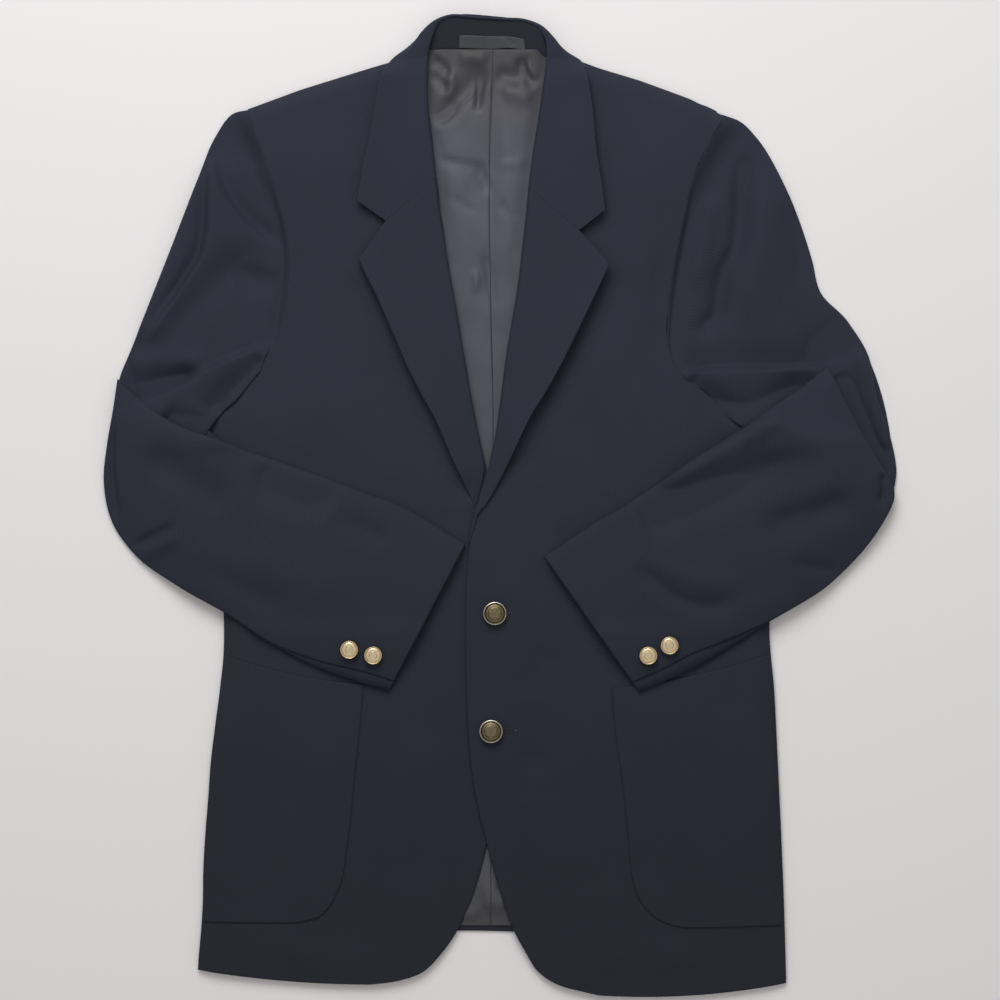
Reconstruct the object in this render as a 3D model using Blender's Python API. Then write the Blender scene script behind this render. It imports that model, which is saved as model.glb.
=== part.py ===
"""A two-button navy blazer laid flat on its back, with both sleeves folded in over the fronts.

Every cut piece is a wall of cloth of its own. A piece is a grid of points: a short table gives one row
for each section across it, in millimetres, and a height function says how high the cloth lies there.
X runs to the wearer's left, Y from the hem to the collar, Z up from the surface that it lies on.
"Right" and "left" are the wearer's own, so the left front, which laps over the right, lies at +X.
"""

import math

import bpy
import numpy as np
from mathutils import Vector
from mathutils.bvhtree import BVHTree

MM = 0.001

# Cloth walls and the air between them.
BACK_WALL = 2.0
FRONT_WALL = 2.0
LINING_WALL = 1.0
LABEL_WALL = 1.0
COLLAR_WALL = 2.0
SLEEVE_WALL = 1.5
POCKET_WALL = 1.5
SEAM_GAP = 0.3
LAY_GAP = 0.8
POCKET_GAP = 0.5

# How the body lies.
SIDE_TOP = BACK_WALL + SEAM_GAP + FRONT_WALL + 0.2
SIDE_ROLL = 18.0
SHOULDER_ROLL = 14.0
PAD_HEIGHT = 3.5
PAD_PLACE = {"right": (-168.0, 285.0), "left": (150.0, 285.0)}
PAD_REACH = (60.0, 48.0)
# The left front laps over the right one round this line, and fades into its own height beyond it.
LAP_CENTRE_X = -10.0
LAP_HALF_WIDTH = 45.0
LAP_FADE = 25.0
LAP_LIFT = 1.5
# The lap begins at this Y and is full after this length towards the hem.
LAP_TOP_Y = 110.0
LAP_LENGTH = 60.0
# From this Y up the side is sewn to the sleeve, and over this length it stops rolling down to the back.
SEWN_FROM_Y = 40.0
SEWN_LENGTH = 80.0
CENTRE_SEAM_X = -8.0
# The lining ends this far inside the body's side, and no further out than its reach.
LINING_INSET = 25.0
LINING_REACH = 200.0
# From this Y up it is no wider than its neck.
LINING_NECK_Y = 300.0
LINING_SIDE_TOP_Y = 320.0

# How the sleeves, the lapels and the collar lie.
SLEEVE_HOLLOW = 3.0
SLEEVE_PRESSED = 0.5
SLEEVE_LEAST = 2.0 * SLEEVE_WALL + 0.6
# A sleeve opens out from the tuck's fold to its full hollow over this many rows.
TUCK_ROWS = 2.0
# The height of a sleeve's inner edge takes over from that of its middle from this share of the section on.
INNER_FROM = 0.375
ARMHOLE_GAP = SEAM_GAP + 0.1
ARMHOLE_CLEAR = 1.0
UNDER_OVERHANG = 0.4
# The sleeves come down from the body to the surface between these distances past its side.
SLEEVE_DROP = (84.0, 14.0)
# They ride over the pockets below this Y, and reach the pockets' height over this length.
POCKET_TOP_Y = -90.0
POCKET_STEP = 20.0
LAPEL_ROLL = 6.0
LAPEL_LIFT = COLLAR_WALL + LAY_GAP + 0.2
LAPEL_SWELL = {"right": 3.0, "left": 4.0}
# The swell beside the roll line grows over this height from the break, at Y 0.
LAPEL_SWELL_LENGTH = 90.0
COLLAR_EDGE_LIFT = 3.6
COLLAR_ROLL_HEIGHT = 13.0
COLLAR_ARCH = 1.2
COLLAR_EDGE_HEIGHT = COLLAR_WALL + 0.4
STAND_FOOT = 5.8
STAND_HEAD = 12.3
LABEL_GAP = 0.6

# Points across each piece, and where across it those of a leaf and of a rolled side lie.
FRONT_ACROSS = 9
FRONT_DENSE = (0.015, 0.035, 0.06, 0.09)
POCKET_ACROSS = 6
POCKET_DENSE = (0.03, 0.07, 0.12)
BACK_ACROSS = 7
LINING_ACROSS = 5
STAND_ACROSS = 11
STAND_ROWS = 4
LABEL_ACROSS = 8
LABEL_ROWS = 3
SLEEVE_ACROSS = 10
LAPEL_SHARES = (0.0, 0.03, 0.08, 0.16, 0.3, 0.5, 0.75, 1.0)
COLLAR_SHARES = (0.0, 0.06, 0.15, 0.3, 0.5, 0.75, 1.0)

FRONT_BUTTON = 20.0
CUFF_BUTTON = 15.0

# Height of the top of the chest cloth, from the hem to the neck: y, height.
BODY_HEIGHT = (
    (-407, 6.6),
    (-283, 7.8),
    (-100, 8.6),
    (100, 9.6),
    (250, 11.0),
    (375, 12.0),
)

# The side and the armhole as seen from above: y, x.
SIDE_RIGHT = (
    (-383, -251),
    (-333, -246),
    (-290, -244),
    (-259, -242),
    (-206, -239),
    (-164, -232),
    (-121, -227),
    (-91, -227),
    (-54, -232),
    (-21, -238),
    (11, -242),
    (46, -244),
    (61, -243),
    (71, -240),
    (79, -234),
    (90, -220),
    (104, -206),
    (118, -198),
    (131, -188),
    (145, -182),
    (161, -179),
    (180, -176),
    (205, -175),
    (225, -177),
    (248, -183),
    (271, -190),
    (300, -200),
    (315, -206),
    (326, -210),
)
SIDE_LEFT = (
    (-394, 236),
    (-328, 234),
    (-245, 230),
    (-154, 224),
    (-120, 222),
    (-102, 220),
    (-71, 224),
    (-29, 230),
    (21, 236),
    (44, 239),
    (53, 236),
    (60, 222),
    (66, 204),
    (81, 182),
    (98, 164),
    (112, 146),
    (120, 142),
    (133, 138),
    (149, 138),
    (187, 142),
    (215, 147),
    (233, 151),
    (255, 155),
    (270, 159),
    (284, 165),
    (302, 174),
    (323, 187),
)

# The shoulder line: x, y.
SHOULDER = (
    (-212, 327),
    (-166, 344),
    (-129, 355),
    (-89, 365),
    (-62, 370),
    (40, 367),
    (66, 364),
    (116, 353),
    (157, 338),
    (189, 322),
)

# One row for each section of a front, from the hem to the shoulder:
# front edge or roll line x and y, side or armhole y, sag of the section towards the hem.
FRONT_RIGHT = (
    (-107, -398, -383, 3),
    (-85, -393, -368, 2),
    (-65, -385, -350, 1),
    (-50, -371, -330, 0),
    (-35, -352, -305, 0),
    (-20, -316, -275, 0),
    (-11, -282, -245, 0),
    (-1, -240, -215, 0),
    (5, -195, -185, 0),
    (8, -154, -152, 0),
    (9, -112, -121, 0),
    (8, -79, -91, 0),
    (6, -46, -54, 0),
    (0, -17, -21, 0),
    (-9, 18, 11, 0),
    (-17, 54, 46, 0),
    (-24, 87, 61, 0),
    (-27, 108, 75, 0),
    (-31, 129, 90, 0),
    (-39, 170, 118, 0),
    (-42, 191, 138, 0),
    (-45, 212, 161, 0),
    (-47, 228, 183, 0),
    (-50, 245, 205, 0),
    (-51, 258, 226, 0),
    (-53, 272, 248, 0),
    (-56, 300, 285, 0),
    (-60, 335, 308, 0),
    (-62, 368, 325, -6),
)
FRONT_LEFT = (
    (81, -407, -394, 5),
    (43, -394, -375, 3),
    (30, -383, -358, 2),
    (22, -369, -340, 1),
    (12, -352, -318, 0),
    (0, -322, -288, 0),
    (-11, -283, -250, 0),
    (-18, -255, -223, 0),
    (-24, -222, -195, 0),
    (-28, -164, -154, 0),
    (-29, -100, -102, 0),
    (-28, -54, -62, 0),
    (-24, -22, -29, 0),
    (-17, 0, 0, 0),
    (-11, 27, 21, 0),
    (-5, 54, 44, 0),
    (-2, 72, 56, 0),
    (0, 87, 66, 0),
    (5, 126, 90, 0),
    (12, 165, 120, 0),
    (15, 185, 140, 0),
    (17, 205, 161, 0),
    (19, 223, 183, 0),
    (21, 240, 205, 0),
    (22, 252, 222, 0),
    (23.5, 266, 240, 0),
    (27, 292, 272, 0),
    (32, 325, 300, 0),
    (38, 364, 321, -8),
)

# How much higher the hem of the back hangs than the side rows of the fronts, in the first rows.
BACK_HEM_RISE = (6, 4, 2, 0)
BACK_HEM_ARCH = (-29, -23, -17, -12, -8, -5, -3)
# The centre of the back above the armholes: the last rows run up to the neckline.
BACK_NECK_ROWS = ((343, -168, 144), (355, -128, 110), (364, -90, 66), (377, -57, 35))

# The centre seam of the lining: y, x.
LINING_SEAM = ((-352, -8), (0, -7), (87, -6), (170, -8), (261, -9), (324, -8), (377, -6))
LINING_ROWS = (-348, -320, -280, -220, -150, -80, 0, 70, 140, 200, 250, 300, 340, 377)
# How far the lining reaches from the middle near the neck: y, distance.
LINING_NECK = {"right": ((300, 180), (340, 68), (377, 57)), "left": ((300, 160), (340, 45), (377, 33))}

# One row for each section of a lapel, from the gorge seam to the break:
# roll line x and y, middle x and y, outer edge x and y, lift of the outer edge.
LAPEL_RIGHT = (
    (-53, 270, -95, 234, -117, 202, 3.4),
    (-51, 250, -88, 216, -110, 187, 3.5),
    (-47, 224, -79, 194, -102, 171, 3.6),
    (-41, 188, -69, 166, -90, 144, 3.6),
    (-35, 154, -58, 137, -79, 118, 3.6),
    (-29, 118, -48, 106, -66, 92, 3.5),
    (-23, 84, -37, 78, -52, 66, 3.4),
    (-17, 52, -28, 48, -40, 38, 3.2),
    (-13.5, 28, -21, 26, -30, 17, 3.0),
    (-17.5, 8, -20, 7, -23.5, 2, 2.8),
)
LAPEL_LEFT = (
    (23, 262, 65, 226, 90, 198, 4.6),
    (21, 240, 59, 207, 83, 183, 4.8),
    (18, 212, 51, 184, 74, 164, 5.0),
    (14, 180, 42, 157, 63, 141, 5.2),
    (9, 150, 33, 130, 50, 115, 5.2),
    (4, 119, 23, 102, 37, 92, 5.0),
    (0, 87, 14, 74, 24, 71, 4.6),
    (-5, 54, 5, 48, 13, 48, 4.0),
    (-11, 27, -5, 22, 1, 23, 3.4),
    (-18, 4, -14, 0, -11, 1, 3.0),
)

# One row for each section of the collar, from the right gorge round the neck to the left gorge:
# roll x and y, middle x and y, outer edge x and y, wrap.
# Where wrap is 1, the outer edge turns down behind the neck to the surface.
COLLAR = (
    (-53, 271.5, -94, 236.5, -118.5, 250.5, 0),
    (-55, 290, -88, 268, -114, 277, 0),
    (-58, 312, -84, 303, -108, 305, 0),
    (-60, 334, -80, 331, -103, 333, 0),
    (-60, 353, -79, 353, -98, 355, 0),
    (-60, 368, -76, 371, -90, 370, 0.55),
    (-58.5, 380, -71, 381, -77, 379, 1),
    (-55.5, 392, -64, 393, -65, 391, 1),
    (-51, 401.5, -55, 405, -56, 403, 1),
    (-42, 404, -42, 407.3, -42, 406, 1),
    (-22, 403.5, -22, 406.9, -22, 405.5, 1),
    (0, 402, 0, 405.4, 0, 404, 1),
    (20, 400, 20.5, 403.5, 20.5, 402, 1),
    (31, 394.5, 34, 398, 34, 396, 1),
    (36.5, 386, 43, 388.5, 43.5, 386.5, 1),
    (38, 374, 51, 378, 56, 377, 1),
    (37, 360, 55, 367, 68, 368, 0.45),
    (35, 343, 55, 350, 72, 351, 0),
    (31, 318, 54, 325, 76, 325, 0),
    (27, 294, 53, 295, 79, 295, 0),
    (25, 279, 56, 262, 83, 268, 0),
    (23.2, 263.5, 64.5, 228.5, 86.5, 243, 0),
)

# One row for each section of the stand, across the back of the neck: foot x and y, head x and y.
STAND = (
    (-60, 379.5, -50.2, 400),
    (-35, 379.5, -34, 402.2),
    (-7, 378.8, -10, 401.2),
    (9, 379.3, 8, 399.6),
    (21, 377, 19, 397.6),
    (37, 372.8, 30.5, 392.5),
)
LABEL_X = (-34.5, 20.5)
LABEL_RISE = (0.0, 0.45)

# One row for each section of a sleeve above the elbow, from the armhole to the end of the tuck:
# outer x and y, inner x and y, bow of the section, height of its middle, height of its inner edge,
# share of the body's height that it rises by, on its way up on to the front.
UPPER_SLEEVE_RIGHT = (
    (-222, 324, -201, 114, 21, 8.8, 9.2, 0),
    (-237, 304, -204, 109, 18, 8.2, 9.4, 0),
    (-251, 266, -208, 103, 13, 7.4, 9.8, 0),
    (-269, 220, -214, 96, 8, 7.0, 9.6, 0.1),
    (-288, 170, -222, 88, 4, 7.0, 8.4, 0.35),
    (-304, 128, -234, 79, 1, 6.6, 5.6, 0.7),
    (-314, 106, -241, 70, 0, 5.6, 4.4, 1.0),
    (-316, 92, -250, 56, -3, 4.8, 4.0, 1.0),
)
UPPER_SLEEVE_LEFT = (
    (199, 320, 149, 114, -20, 8.8, 9.2, 0),
    (214, 303, 152, 107, -16, 8.2, 9.4, 0),
    (239, 255, 158, 102, -11, 7.4, 9.8, 0),
    (256, 204, 168, 94, -6, 7.0, 9.6, 0.1),
    (267, 172, 184, 81, -2, 7.0, 8.4, 0.4),
    (292, 151, 206, 66.5, 0, 6.6, 4.8, 1.0),
    (306, 124, 225, 67, 0, 6.2, 5.0, 1.0),
    (315, 88, 244, 72, 0, 5.8, 5.0, 1.0),
    (322, 56, 258, 62, 0, 5.6, 5.0, 1.0),
    (326, 28, 272, 40, 0, 5.4, 5.0, 1.0),
    (322, 10, 286, 20, 0, 5.2, 5.0, 1.0),
)

# One row for each section of a sleeve below the elbow, from the tuck's fold to the cuff:
# outer x and y, inner x and y, bow of the section, lift over the tuck,
# width of the under sleeve that shows past the outer edge.
LOWER_SLEEVE_RIGHT = (
    (-317, 104, -239, 56, -8, 5.0, 0),
    (-322, 80, -230, 52, -5, 4.6, 0),
    (-327, 50, -221, 49, -2, 3.0, 0),
    (-327, 20, -212, 45, 0, 1.4, 0),
    (-321, -14, -199, 41, 0, 0.4, 0),
    (-303, -42, -185, 36, 0, 0, 0),
    (-270, -70, -163, 28, 0, 0, 0),
    (-226, -95, -134, 18, 0, 0, 0),
    (-190, -114, -108, 8, 0, 0, 0.5),
    (-151, -129, -83, -1, 0, 0, 5),
    (-114, -138, -55, -17, 0, 0, 9),
    (-88, -146, -29, -33, 0, 0, 8),
)
LOWER_SLEEVE_LEFT = (
    (316, 12, 271, 115, -4, 5.0, 0),
    (322, 0, 252, 99, -3, 5.6, 0),
    (316, -13, 230, 84, -1, 6.2, 0),
    (304, -30, 206, 67, 0, 4.6, 0),
    (289, -47, 185, 53, 0, 2.4, 0),
    (267, -68, 163, 40, 0, 1.0, 0),
    (241, -86, 143, 26, 0, 0.3, 0),
    (216, -99, 123, 12, 0, 0, 3),
    (187, -112, 103, -1, 0, 0, 8),
    (157, -124, 78, -15, 0, 0, 12),
    (134, -136, 57, -29, 0, 0, 10),
    (109, -147, 36, -43, 0, 0, 9),
)
# The sections of an under sleeve: some from above the elbow, some of its own round the elbow
# (outer x and y, inner x and y), then those from below the elbow, from this row on.
UNDER_UPPER_ROWS = {"right": 8, "left": 7}
UNDER_ELBOW = {
    "right": ((-320, 86, -240, 60),),
    "left": ((309, 112, 209, 65), (321, 70, 211, 64), (325, 30, 212, 62), (319, -6, 210, 62)),
}
UNDER_LOWER_FIRST = {"right": 1, "left": 3}

# One row for each section of a patch pocket, from its foot to its mouth:
# inner edge x, y, side y, sag.
POCKET_RIGHT = (
    (-190, -346, -346, 0),
    (-163, -345, -340, 0),
    (-149, -341, -333, 0),
    (-140, -331, -322, 0),
    (-132, -314, -308, 0),
    (-127, -286, -282, 0),
    (-121, -232, -230, 0),
    (-116, -183, -180, 0),
    (-113, -149, -125, 4),
)
POCKET_LEFT = (
    (168, -350, -349, 0),
    (145, -349, -342, 0),
    (128, -342, -334, 0),
    (117, -331, -323, 0),
    (109, -310, -306, 0),
    (106, -282, -280, 0),
    (101, -232, -230, 0),
    (95, -190, -185, 0),
    (92, -152, -124, 4),
)
POCKET_SIDE_INSET = 2.0

FRONT_BUTTONS = (("upper", -4.7, -90.0), ("lower", -7.8, -187.5))
CUFF_BUTTONS = (
    ("right_inner", -105.0, -124.4),
    ("right_outer", -124.7, -119.7),
    ("left_inner", 121.8, -124.5),
    ("left_outer", 139.3, -116.2),
)
# The turned outline of a button, as shares of its radius: radius, height.
BUTTON_PROFILE = (
    (0.00, 0.00),
    (0.55, 0.00),
    (0.90, 0.12),
    (1.00, 0.26),
    (0.97, 0.38),
    (0.88, 0.42),
    (0.80, 0.32),
    (0.72, 0.32),
    (0.40, 0.38),
    (0.00, 0.40),
)
BUTTON_SEGMENTS = 20
BUTTON_LIFT = 0.9

NAVY_WOOL = ("navy_wool", (0.026, 0.028, 0.043), 0.92, 0.0)
LINING_SATIN = ("lining_satin", (0.075, 0.077, 0.095), 0.38, 0.0)
LABEL_SATIN = ("label_satin", (0.060, 0.069, 0.076), 0.42, 0.0)
AGED_BRASS = ("aged_brass", (0.13, 0.10, 0.055), 0.42, 1.0)
BRIGHT_BRASS = ("bright_brass", (0.55, 0.42, 0.25), 0.28, 1.0)


def smoothstep(value):
    part = np.clip(value, 0.0, 1.0)
    return part * part * (3.0 - 2.0 * part)


def spline(rows, steps):
    """The rows of a table with smooth ones between them: a Catmull-Rom curve through them all."""
    rows = np.array(rows, float)
    ends = np.vstack([2 * rows[0] - rows[1], rows, 2 * rows[-1] - rows[-2]])
    found = []
    for i in range(len(rows) - 1):
        a, b, c, d = ends[i : i + 4]
        for t in np.arange(steps) / steps:
            bend = (2 * a - 5 * b + 4 * c - d) * t + (3 * b - a - 3 * c + d) * t * t
            found.append(b + 0.5 * t * ((c - a) + bend))
    found.append(rows[-1])
    return np.array(found)


def lookup(table, value):
    """Reads a two-column table at a value of its first column, along a smooth curve."""
    curve = spline(table, 8)
    return np.interp(value, curve[:, 0], curve[:, 1])


def side_x(wearer, y):
    return lookup(SIDE_RIGHT if wearer == "right" else SIDE_LEFT, y)


def inside_side(wearer, x, y):
    """How far a point lies inside the body's side or armhole."""
    return (x - side_x(wearer, y)) * (1 if wearer == "right" else -1)


def body_height(x, y):
    height = lookup(BODY_HEIGHT, y)
    for pad_x, pad_y in PAD_PLACE.values():
        away = ((x - pad_x) / PAD_REACH[0]) ** 2 + ((y - pad_y) / PAD_REACH[1]) ** 2
        height = height + PAD_HEIGHT * np.exp(-away)
    return height


def front_top(wearer, x, y):
    """Height of the upper side of a front."""
    height = body_height(x, y)
    lap = smoothstep((LAP_HALF_WIDTH - abs(x - LAP_CENTRE_X)) / LAP_FADE)
    lap = lap * smoothstep((LAP_TOP_Y - y) / LAP_LENGTH)
    height = height + lap * (LAP_LIFT if wearer == "left" else -LAP_LIFT)
    roll = np.sin(0.5 * math.pi * np.clip(inside_side(wearer, x, y) / SIDE_ROLL, 0.0, 1.0))
    sewn = smoothstep((y - SEWN_FROM_Y) / SEWN_LENGTH)
    height = SIDE_TOP + (height - SIDE_TOP) * (roll + (1.0 - roll) * sewn)
    below = (lookup(SHOULDER, x) - y) / SHOULDER_ROLL
    crest = np.sin(0.5 * math.pi * np.clip(below, 0.0, 1.0))
    return SIDE_TOP + (height - SIDE_TOP) * crest


def sleeve_bed(wearer, x, y):
    """Height of what a folded sleeve lies on: the body and its pocket, then down to the surface."""
    inside = inside_side(wearer, x, y)
    far, near = SLEEVE_DROP
    height = (body_height(x, y) + LAY_GAP) * smoothstep((inside + far) / (far - near))
    pocket = (POCKET_GAP + POCKET_WALL + SEAM_GAP) * smoothstep((POCKET_TOP_Y - y) / POCKET_STEP)
    return height + pocket * smoothstep((inside + POCKET_STEP) / POCKET_STEP)


def across(start, end, shares, bow=(0.0, 0.0)):
    """Points along one section, bowed sideways in its middle."""
    start, end, bow = (np.array(v, float) for v in (start, end, bow))
    s = np.array(shares, float)[:, None]
    return start + (end - start) * s + 4.0 * s * (1.0 - s) * bow


def front_shares(count, dense):
    """Shares across a front, closer together at the side, where the cloth rolls down."""
    plain = np.linspace(0.0, 1.0, count)
    return np.unique(np.concatenate([plain, 1.0 - np.array(dense)]))


def material(kind):
    name, colour, roughness, metallic = kind
    found = bpy.data.materials.get(name)
    if found:
        return found
    found = bpy.data.materials.new(name)
    found.use_nodes = True
    shader = found.node_tree.nodes["Principled BSDF"]
    shader.inputs["Base Color"].default_value = (*colour, 1.0)
    shader.inputs["Roughness"].default_value = roughness
    shader.inputs["Metallic"].default_value = metallic
    found.diffuse_color = (*colour, 1.0)
    return found


def add_object(name, points, faces, kind):
    mesh = bpy.data.meshes.new(name)
    mesh.from_pydata([tuple(MM * v for v in point) for point in points], [], faces)
    mesh.validate()
    mesh.shade_smooth()
    mesh.set_sharp_from_angle(angle=math.radians(40.0))
    mesh.materials.append(material(kind))
    obj = bpy.data.objects.new(name, mesh)
    bpy.context.scene.collection.objects.link(obj)
    return obj


def wall(name, top, thickness, kind):
    """A closed wall of cloth under a grid of points of its upper side."""
    low = top - np.array([0.0, 0.0, thickness])
    rows, columns = top.shape[:2]
    count = rows * columns
    points = np.concatenate([top.reshape(-1, 3), low.reshape(-1, 3)])
    index = np.arange(count).reshape(rows, columns)
    faces = []
    for i in range(rows - 1):
        for j in range(columns - 1):
            a, b, c, d = index[i, j], index[i, j + 1], index[i + 1, j + 1], index[i + 1, j]
            for face in ([a, b, c], [a, c, d]):
                faces.append(face)
                faces.append([count + v for v in reversed(face)])
    rim = list(index[0, ::-1]) + list(index[1:, 0]) + list(index[-1, 1:]) + list(index[-2:0:-1, -1])
    for a, b in zip(rim, rim[1:] + rim[:1]):
        faces.append([b, a, count + a, count + b][::-1])
    faces = [[int(v) for v in face] for face in faces]
    edge_a, edge_b = top[0, 1] - top[0, 0], top[1, 0] - top[0, 0]
    if np.cross(edge_a[:2], edge_b[:2]) < 0.0:
        faces = [face[::-1] for face in faces]
    return add_object(name, points, faces, kind)


def lifted(plan, heights):
    return np.concatenate([plan, np.array(heights)[..., None]], axis=2)


def front_plan(wearer, rows):
    shares = front_shares(FRONT_ACROSS, FRONT_DENSE)
    plan = []
    for edge_x, edge_y, side_y, sag in rows:
        side = (side_x(wearer, side_y), side_y)
        plan.append(across((edge_x, edge_y), side, shares, (0.0, -sag)))
    outer = plan[-1][len(shares) // 2 :]
    outer[:, 1] = lookup(SHOULDER, outer[:, 0])
    return np.array(plan)


def make_fronts():
    tops = {}
    for wearer, rows in (("right", FRONT_RIGHT), ("left", FRONT_LEFT)):
        plan = front_plan(wearer, rows)
        tops[wearer] = lifted(plan, front_top(wearer, plan[..., 0], plan[..., 1]))
        wall(f"front_{wearer}", tops[wearer], FRONT_WALL, NAVY_WOOL)
    return tops


def make_back():
    plan = []
    shares = np.linspace(0.0, 1.0, BACK_ACROSS)
    for i, (right, left) in enumerate(zip(FRONT_RIGHT, FRONT_LEFT)):
        rise = BACK_HEM_RISE[i] if i < len(BACK_HEM_RISE) else 0
        arch = BACK_HEM_ARCH[i] if i < len(BACK_HEM_ARCH) else 0
        start = (side_x("right", right[2]), right[2] + rise)
        end = (side_x("left", left[2]), left[2] + rise)
        plan.append(across(start, end, shares, (0.0, -arch)))
    for y, right_x, left_x in BACK_NECK_ROWS:
        plan.append(across((right_x, y), (left_x, y), shares))
    plan = np.array(plan)
    wall("back", lifted(plan, np.full(plan.shape[:2], BACK_WALL)), BACK_WALL, NAVY_WOOL)


def make_lining():
    for wearer, sign in (("right", -1.0), ("left", 1.0)):
        plan = []
        for y in LINING_ROWS:
            seam = (lookup(LINING_SEAM, y) + sign * 0.5 * SEAM_GAP, y)
            side = abs(side_x(wearer, min(y, LINING_SIDE_TOP_Y)))
            reach = min(side - LINING_INSET, LINING_REACH)
            if y > LINING_NECK_Y:
                reach = min(reach, lookup(LINING_NECK[wearer], y))
            plan.append(across(seam, (sign * reach, y), np.linspace(0.0, 1.0, LINING_ACROSS)))
        plan = np.array(plan)
        heights = np.full(plan.shape[:2], BACK_WALL + SEAM_GAP + LINING_WALL)
        wall(f"back_lining_{wearer}", lifted(plan, heights), LINING_WALL, LINING_SATIN)


def roll_off(away, reach):
    """0 at a rolled edge, 1 past its reach, round like a quarter circle."""
    near = 1.0 - np.clip(away / reach, 0.0, 1.0)
    return np.sqrt(1.0 - near * near)


def lapel_top(wearer, row, share, x, y):
    """Height of a lapel at a share of its width: rolled at the roll line, free at its outer edge."""
    roll_x, roll_y, edge_lift = row[0], row[1], row[6]
    away = np.hypot(x - roll_x, y - roll_y)
    swell = LAPEL_SWELL[wearer] * (1.0 - share) ** 1.5 * smoothstep(roll_y / LAPEL_SWELL_LENGTH)
    rise = (edge_lift - LAPEL_LIFT) * smoothstep(share * 1.5) + swell
    return front_top(wearer, x, y) + LAPEL_LIFT + rise * roll_off(away, LAPEL_ROLL)


def leaf_point(row, share):
    """A point of a lapel or collar row, which runs from its roll through its middle to its edge."""
    roll, middle, edge = (np.array(row[i : i + 2], float) for i in (0, 2, 4))
    if share < 0.5:
        return roll + (middle - roll) * share * 2.0
    return middle + (edge - middle) * (share * 2.0 - 1.0)


def lapel_grid(wearer, rows):
    grid = []
    for row in rows:
        line = []
        for share in LAPEL_SHARES:
            x, y = leaf_point(row, share)
            line.append((x, y, float(lapel_top(wearer, row, share, x, y))))
        grid.append(line)
    return np.array(grid)


def make_lapels():
    for wearer, rows in (("right", LAPEL_RIGHT), ("left", LAPEL_LEFT)):
        wall(f"lapel_{wearer}", lapel_grid(wearer, rows), COLLAR_WALL, NAVY_WOOL)


def collar_grid():
    grid = []
    for row in COLLAR:
        wearer = "right" if row[0] < CENTRE_SEAM_X else "left"
        wrap = row[6]
        line = []
        for share in COLLAR_SHARES:
            x, y = leaf_point(row, share)
            leaf = float(lapel_top(wearer, (*row[:6], COLLAR_EDGE_LIFT), share, x, y))
            hang = COLLAR_ROLL_HEIGHT + COLLAR_ARCH * math.sin(math.pi * min(1.0, share * 2.0))
            if share > 0.5:
                hang -= (COLLAR_ROLL_HEIGHT - COLLAR_EDGE_HEIGHT) * (share * 2.0 - 1.0)
            line.append((x, y, leaf + (hang - leaf) * wrap))
        grid.append(line)
    return np.array(grid)


def make_collar():
    wall("collar", collar_grid(), COLLAR_WALL, NAVY_WOOL)


def stand_point(x_share, rise):
    """A point on the inside of the stand: x_share runs across the neck, rise from its foot to its head."""
    curve = spline(STAND, 8)
    at = x_share * (len(curve) - 1)
    row = np.array([np.interp(at, np.arange(len(curve)), curve[:, i]) for i in range(4)])
    x, y = row[:2] + (row[2:] - row[:2]) * rise
    return x, y, STAND_FOOT + (STAND_HEAD - STAND_FOOT) * rise


def make_stand():
    grid = []
    for rise in np.linspace(0.0, 1.0, STAND_ROWS):
        grid.append([stand_point(s, rise) for s in np.linspace(0.0, 1.0, STAND_ACROSS)])
    wall("collar_stand", np.array(grid), COLLAR_WALL, NAVY_WOOL)
    shares = np.linspace(0.0, 1.0, 101)
    foot = np.array([stand_point(s, 0.0)[0] for s in shares])
    first, last = (np.interp(x, foot, shares) for x in LABEL_X)
    grid = []
    for rise in np.linspace(*LABEL_RISE, LABEL_ROWS):
        grid.append([stand_point(s, rise) for s in np.linspace(first, last, LABEL_ACROSS)])
    grid = np.array(grid) + np.array([0.0, 0.0, LABEL_GAP + LABEL_WALL])
    wall("neck_label", grid, LABEL_WALL, LABEL_SATIN)


def sleeve_swell(shares):
    """How far the two sides of a pressed sleeve stand apart, as a share of the most."""
    return 1.0 - np.abs(2.0 * np.array(shares) - 1.0) ** 3


def upper_plan(wearer):
    """The sections of a sleeve above the elbow. The first is the front's own armhole, moved out."""
    if wearer == "right":
        body, rows, sign = FRONT_RIGHT, UPPER_SLEEVE_RIGHT, -1.0
    else:
        body, rows, sign = FRONT_LEFT, UPPER_SLEEVE_LEFT, 1.0
    levels = [row[2] for row in body[: -SLEEVE_ACROSS - 1 : -1]]
    plan = [np.array([(side_x(wearer, y) + sign * ARMHOLE_GAP, y) for y in levels])]
    shares = np.linspace(0.0, 1.0, SLEEVE_ACROSS)
    corners = np.array([(row[2], side_x(wearer, row[2])) for row in body])
    for outer_x, outer_y, inner_x, inner_y, bow, *_ in rows:
        clear = np.interp(inner_y, corners[:, 0], corners[:, 1]) + sign * ARMHOLE_CLEAR
        inner = (sign * max(sign * inner_x, sign * clear), inner_y)
        plan.append(across((outer_x, outer_y), inner, shares, (bow, 0.0)))
    return np.array(plan)


def upper_rise(wearer, plan):
    """How far the layers above the elbow climb towards the front that they cross on to."""
    rows = UPPER_SLEEVE_RIGHT if wearer == "right" else UPPER_SLEEVE_LEFT
    share = np.array([0.0] + [row[7] for row in rows])[:, None]
    return share * sleeve_bed(wearer, plan[..., 0], plan[..., 1])


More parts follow.
